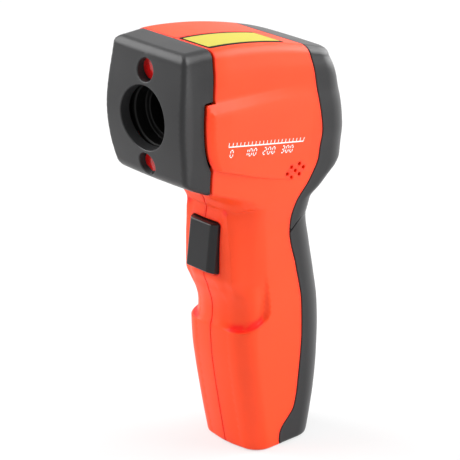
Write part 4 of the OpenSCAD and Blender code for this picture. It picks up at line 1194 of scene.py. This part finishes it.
def screw_set():
    """Pan head screws with a cross recess, one at every point, driven along +Y."""
    inputs = [("Geometry", GEOMETRY), ("Steel", MATERIAL)]
    inputs += [(label, FLOAT) for label in ("Head Radius", "Head Height", "Shank Radius", "Shank Length",
                                            "Slot Length", "Slot Width", "Slot Depth")]
    tree, given, result = new_tree("GeometryNodeTree", "screw_set", inputs, [("Geometry", GEOMETRY)])

    def scaled(label, factor):
        """A node that gives an input times a factor."""
        node = new_node(tree, "ShaderNodeMath", {1: factor}, operation="MULTIPLY")
        wire(tree, (given, label, node, 0))
        return node

    def sunk(mesh, depth):
        """A node that moves a mesh along Z."""
        vector, move = new_node(tree, "ShaderNodeCombineXYZ"), new_node(tree, "GeometryNodeTransform")
        wire(tree, (depth, "Value", vector, "Z"), (mesh, "Mesh", move, "Geometry"),
             (vector, "Vector", move, "Translation"))
        return move

    cones = []
    for radius, draw, height, share in (("Head Radius", 1, "Head Height", 0.6),
                                        ("Head Radius", 0.7, "Head Height", 0.4),
                                        ("Shank Radius", 1, "Shank Length", 1)):
        cone = new_node(tree, "GeometryNodeMeshCone", {"Vertices": 32})
        wire(tree, (scaled(radius, 1), "Value", cone, "Radius Bottom"),
             (scaled(radius, draw), "Value", cone, "Radius Top"),
             (scaled(height, share), "Value", cone, "Depth"))
        cones.append(cone)
    skirt, dome, shank = cones
    head = new_node(tree, "GeometryNodeMeshBoolean", operation="UNION")
    for part, depth in ((skirt, -1), (dome, -0.4)):
        wire(tree, (sunk(part, scaled("Head Height", depth)), "Geometry", head, "Mesh 2"))
    cut = new_node(tree, "GeometryNodeMeshBoolean", operation="DIFFERENCE")
    wire(tree, (head, "Mesh", cut, "Mesh 1"))
    for first, second in (("Slot Length", "Slot Width"), ("Slot Width", "Slot Length")):
        size, cube = new_node(tree, "ShaderNodeCombineXYZ"), new_node(tree, "GeometryNodeMeshCube")
        wire(tree, (given, first, size, "X"), (given, second, size, "Y"),
             (scaled("Slot Depth", 2), "Value", size, "Z"), (size, "Vector", cube, "Size"),
             (cube, "Mesh", cut, "Mesh 2"))
    below = new_node(tree, "ShaderNodeMath", operation="SUBTRACT")
    whole = new_node(tree, "GeometryNodeJoinGeometry")
    wire(tree, (scaled("Head Height", -1), "Value", below, 0), (given, "Shank Length", below, 1),
         (cut, "Mesh", whole, "Geometry"), (sunk(shank, below), "Geometry", whole, "Geometry"))
    instances = put_on_points(tree, (given, "Geometry"), whole, (given, "Steel"), result)
    instances.inputs["Rotation"].default_value = (math.pi / 2, 0, 0)
    return tree


dark_steel = finish("dark_steel", (0.16, 0.16, 0.165), 0.34, metal=1.0, grain=1500, bump=0.1)
# The heads start at the outer ends of the CAD screws
screw_mesh = frame["nodes"]["housing_screws"]
corners = np.array([tuple(screw_mesh.matrix_world @ v.co) for v in screw_mesh.data.vertices])
seats = [(x * MM, corners[np.hypot(corners[:, 0] - x * MM, corners[:, 2] - z * MM) < 4 * MM, 1].min(), z * MM)
         for x, z in SCREW_PLACES]
screws = grown_mesh("cross_screws", screw_set(), {
    "Steel": dark_steel, "Head Radius": 2.3 * MM, "Head Height": 2.0 * MM, "Shank Radius": 1.1 * MM,
    "Shank Length": 16.0 * MM, "Slot Length": 2.6 * MM, "Slot Width": 0.6 * MM,
    "Slot Depth": 1.1 * MM}, seats)
placed(screws, "instrument", "steel", "housing_screws")


# Camera, as fitted to the photograph, in degrees, metres and pixels of the picture
VIEW_TURN, VIEW_UP, VIEW_ROLL, VIEW_FAR = 47.94, 21.65, -0.32, 0.8
PHOTO_PX, FOCAL_PX, SHIFT_PX = 460, 2456.8, (-3.6, 6.7)
SENSOR_MM = 36
aim = Vector((0, 0, 73)) * MM


def direction(turn, up):
    """Unit vector this many degrees round and up."""
    t, u = math.radians(turn), math.radians(up)
    return Vector((math.cos(t) * math.cos(u), math.sin(t) * math.cos(u), math.sin(u)))


towards = direction(VIEW_TURN, VIEW_UP)
roll = Quaternion((0, 0, 1), math.radians(VIEW_ROLL))
camera = in_scene("camera", bpy.data.cameras.new("camera"))
camera.location = aim + VIEW_FAR * towards
camera.rotation_euler = ((-towards).to_track_quat("-Z", "Y") @ roll).to_euler()
camera.data.sensor_width = SENSOR_MM
camera.data.lens = FOCAL_PX / PHOTO_PX * SENSOR_MM
camera.data.shift_x, camera.data.shift_y = (px / PHOTO_PX for px in SHIFT_PX)
camera.data.clip_start, camera.data.clip_end = 0.05, 20
bpy.context.scene.camera = camera
bpy.context.scene.view_settings.view_transform = "Standard"


def softbox(name, turn, up, distance, size, power):
    """A soft area light, aimed at the middle of the object."""
    light = bpy.data.lights.new(name, "AREA")
    light.shape, light.size, light.size_y, light.energy = "RECTANGLE", size[0], size[1], power
    obj = in_scene(name, light)
    out = direction(turn, up)
    obj.location = aim + distance * out
    obj.rotation_euler = (-out).to_track_quat("-Z", "Y").to_euler()
    return obj


def background_rays(tree):
    """A node that is 1 for rays that show the background: straight, mirrored or through glass."""
    path = new_node(tree, "ShaderNodeLightPath")
    total = (path, "Is Camera Ray")
    for label in ("Is Glossy Ray", "Is Transmission Ray"):
        either = new_node(tree, "ShaderNodeMath", operation="MAXIMUM")
        wire(tree, (*total, either, 0), (path, label, either, 1))
        total = (either, "Value")
    return either


def white_floor():
    """Pale floor that the camera sees as a white sheet with a soft shadow, plain white further off."""
    material = finish("white_floor", (0.75, 0.75, 0.75), 0.9, vary=0.01, bump=0.02, gloss=0.05)
    tree = material.node_tree
    coords = new_node(tree, "ShaderNodeTexCoord")
    far = new_node(tree, "ShaderNodeVectorMath", operation="LENGTH")
    fade = new_node(tree, "ShaderNodeMapRange",
                    {"From Min": 0.3, "From Max": 1.1, "To Min": 0.6, "To Max": 1.0})
    share = new_node(tree, "ShaderNodeMath", operation="MULTIPLY")
    glow = new_node(tree, "ShaderNodeEmission", {"Strength": 1.0})
    mix = new_node(tree, "ShaderNodeMixShader")
    wire(tree, (coords, "Object", far, 0), (far, "Value", fade, "Value"), (fade, "Result", share, 1),
         (background_rays(tree), "Value", share, 0), (share, "Value", mix, "Fac"),
         (tree.nodes["Principled BSDF"], "BSDF", mix, 1), (glow, "Emission", mix, 2),
         (mix, "Shader", tree.nodes["Material Output"], "Surface"))
    return material


for lamp in (("left_softbox", -56, 34, 0.9, (0.8, 0.8), 11.0),
             ("right_softbox", 144, 28, 0.9, (0.9, 0.9), 11.5),
             ("top_softbox", 60, 88, 0.8, (0.5, 0.5), 0.8),
             ("rim_softbox", 176, 14, 1.0, (1.0, 0.7), 7.0)):
    softbox(*lamp)
softbox("fill_softbox", 48, 30, 1.2, (0.9, 0.9), 2.4).visible_glossy = False

floor_mesh = bpy.data.meshes.new("floor")
floor_mesh.from_pydata([(-6, -6, 0), (6, -6, 0), (6, 6, 0), (-6, 6, 0)], [], [(0, 1, 2, 3)])
floor_mesh.materials.append(white_floor())
in_scene("floor", floor_mesh)

# Surroundings: white where they are seen, dimmer where they light the object
WHITE = (1, 1, 1, 1)
world = bpy.data.worlds.new("studio")
bpy.context.scene.world = world
world.use_nodes = True
studio = world.node_tree
backdrop = studio.nodes["Background"]
backdrop.inputs["Color"].default_value, backdrop.inputs["Strength"].default_value = WHITE, 1.0
room = new_node(studio, "ShaderNodeBackground", {"Color": WHITE, "Strength": 0.3})
choose = new_node(studio, "ShaderNodeMixShader")
wire(studio, (background_rays(studio), "Value", choose, "Fac"), (room, "Background", choose, 1),
     (backdrop, "Background", choose, 2), (choose, "Shader", studio.nodes["World Output"], "Surface"))
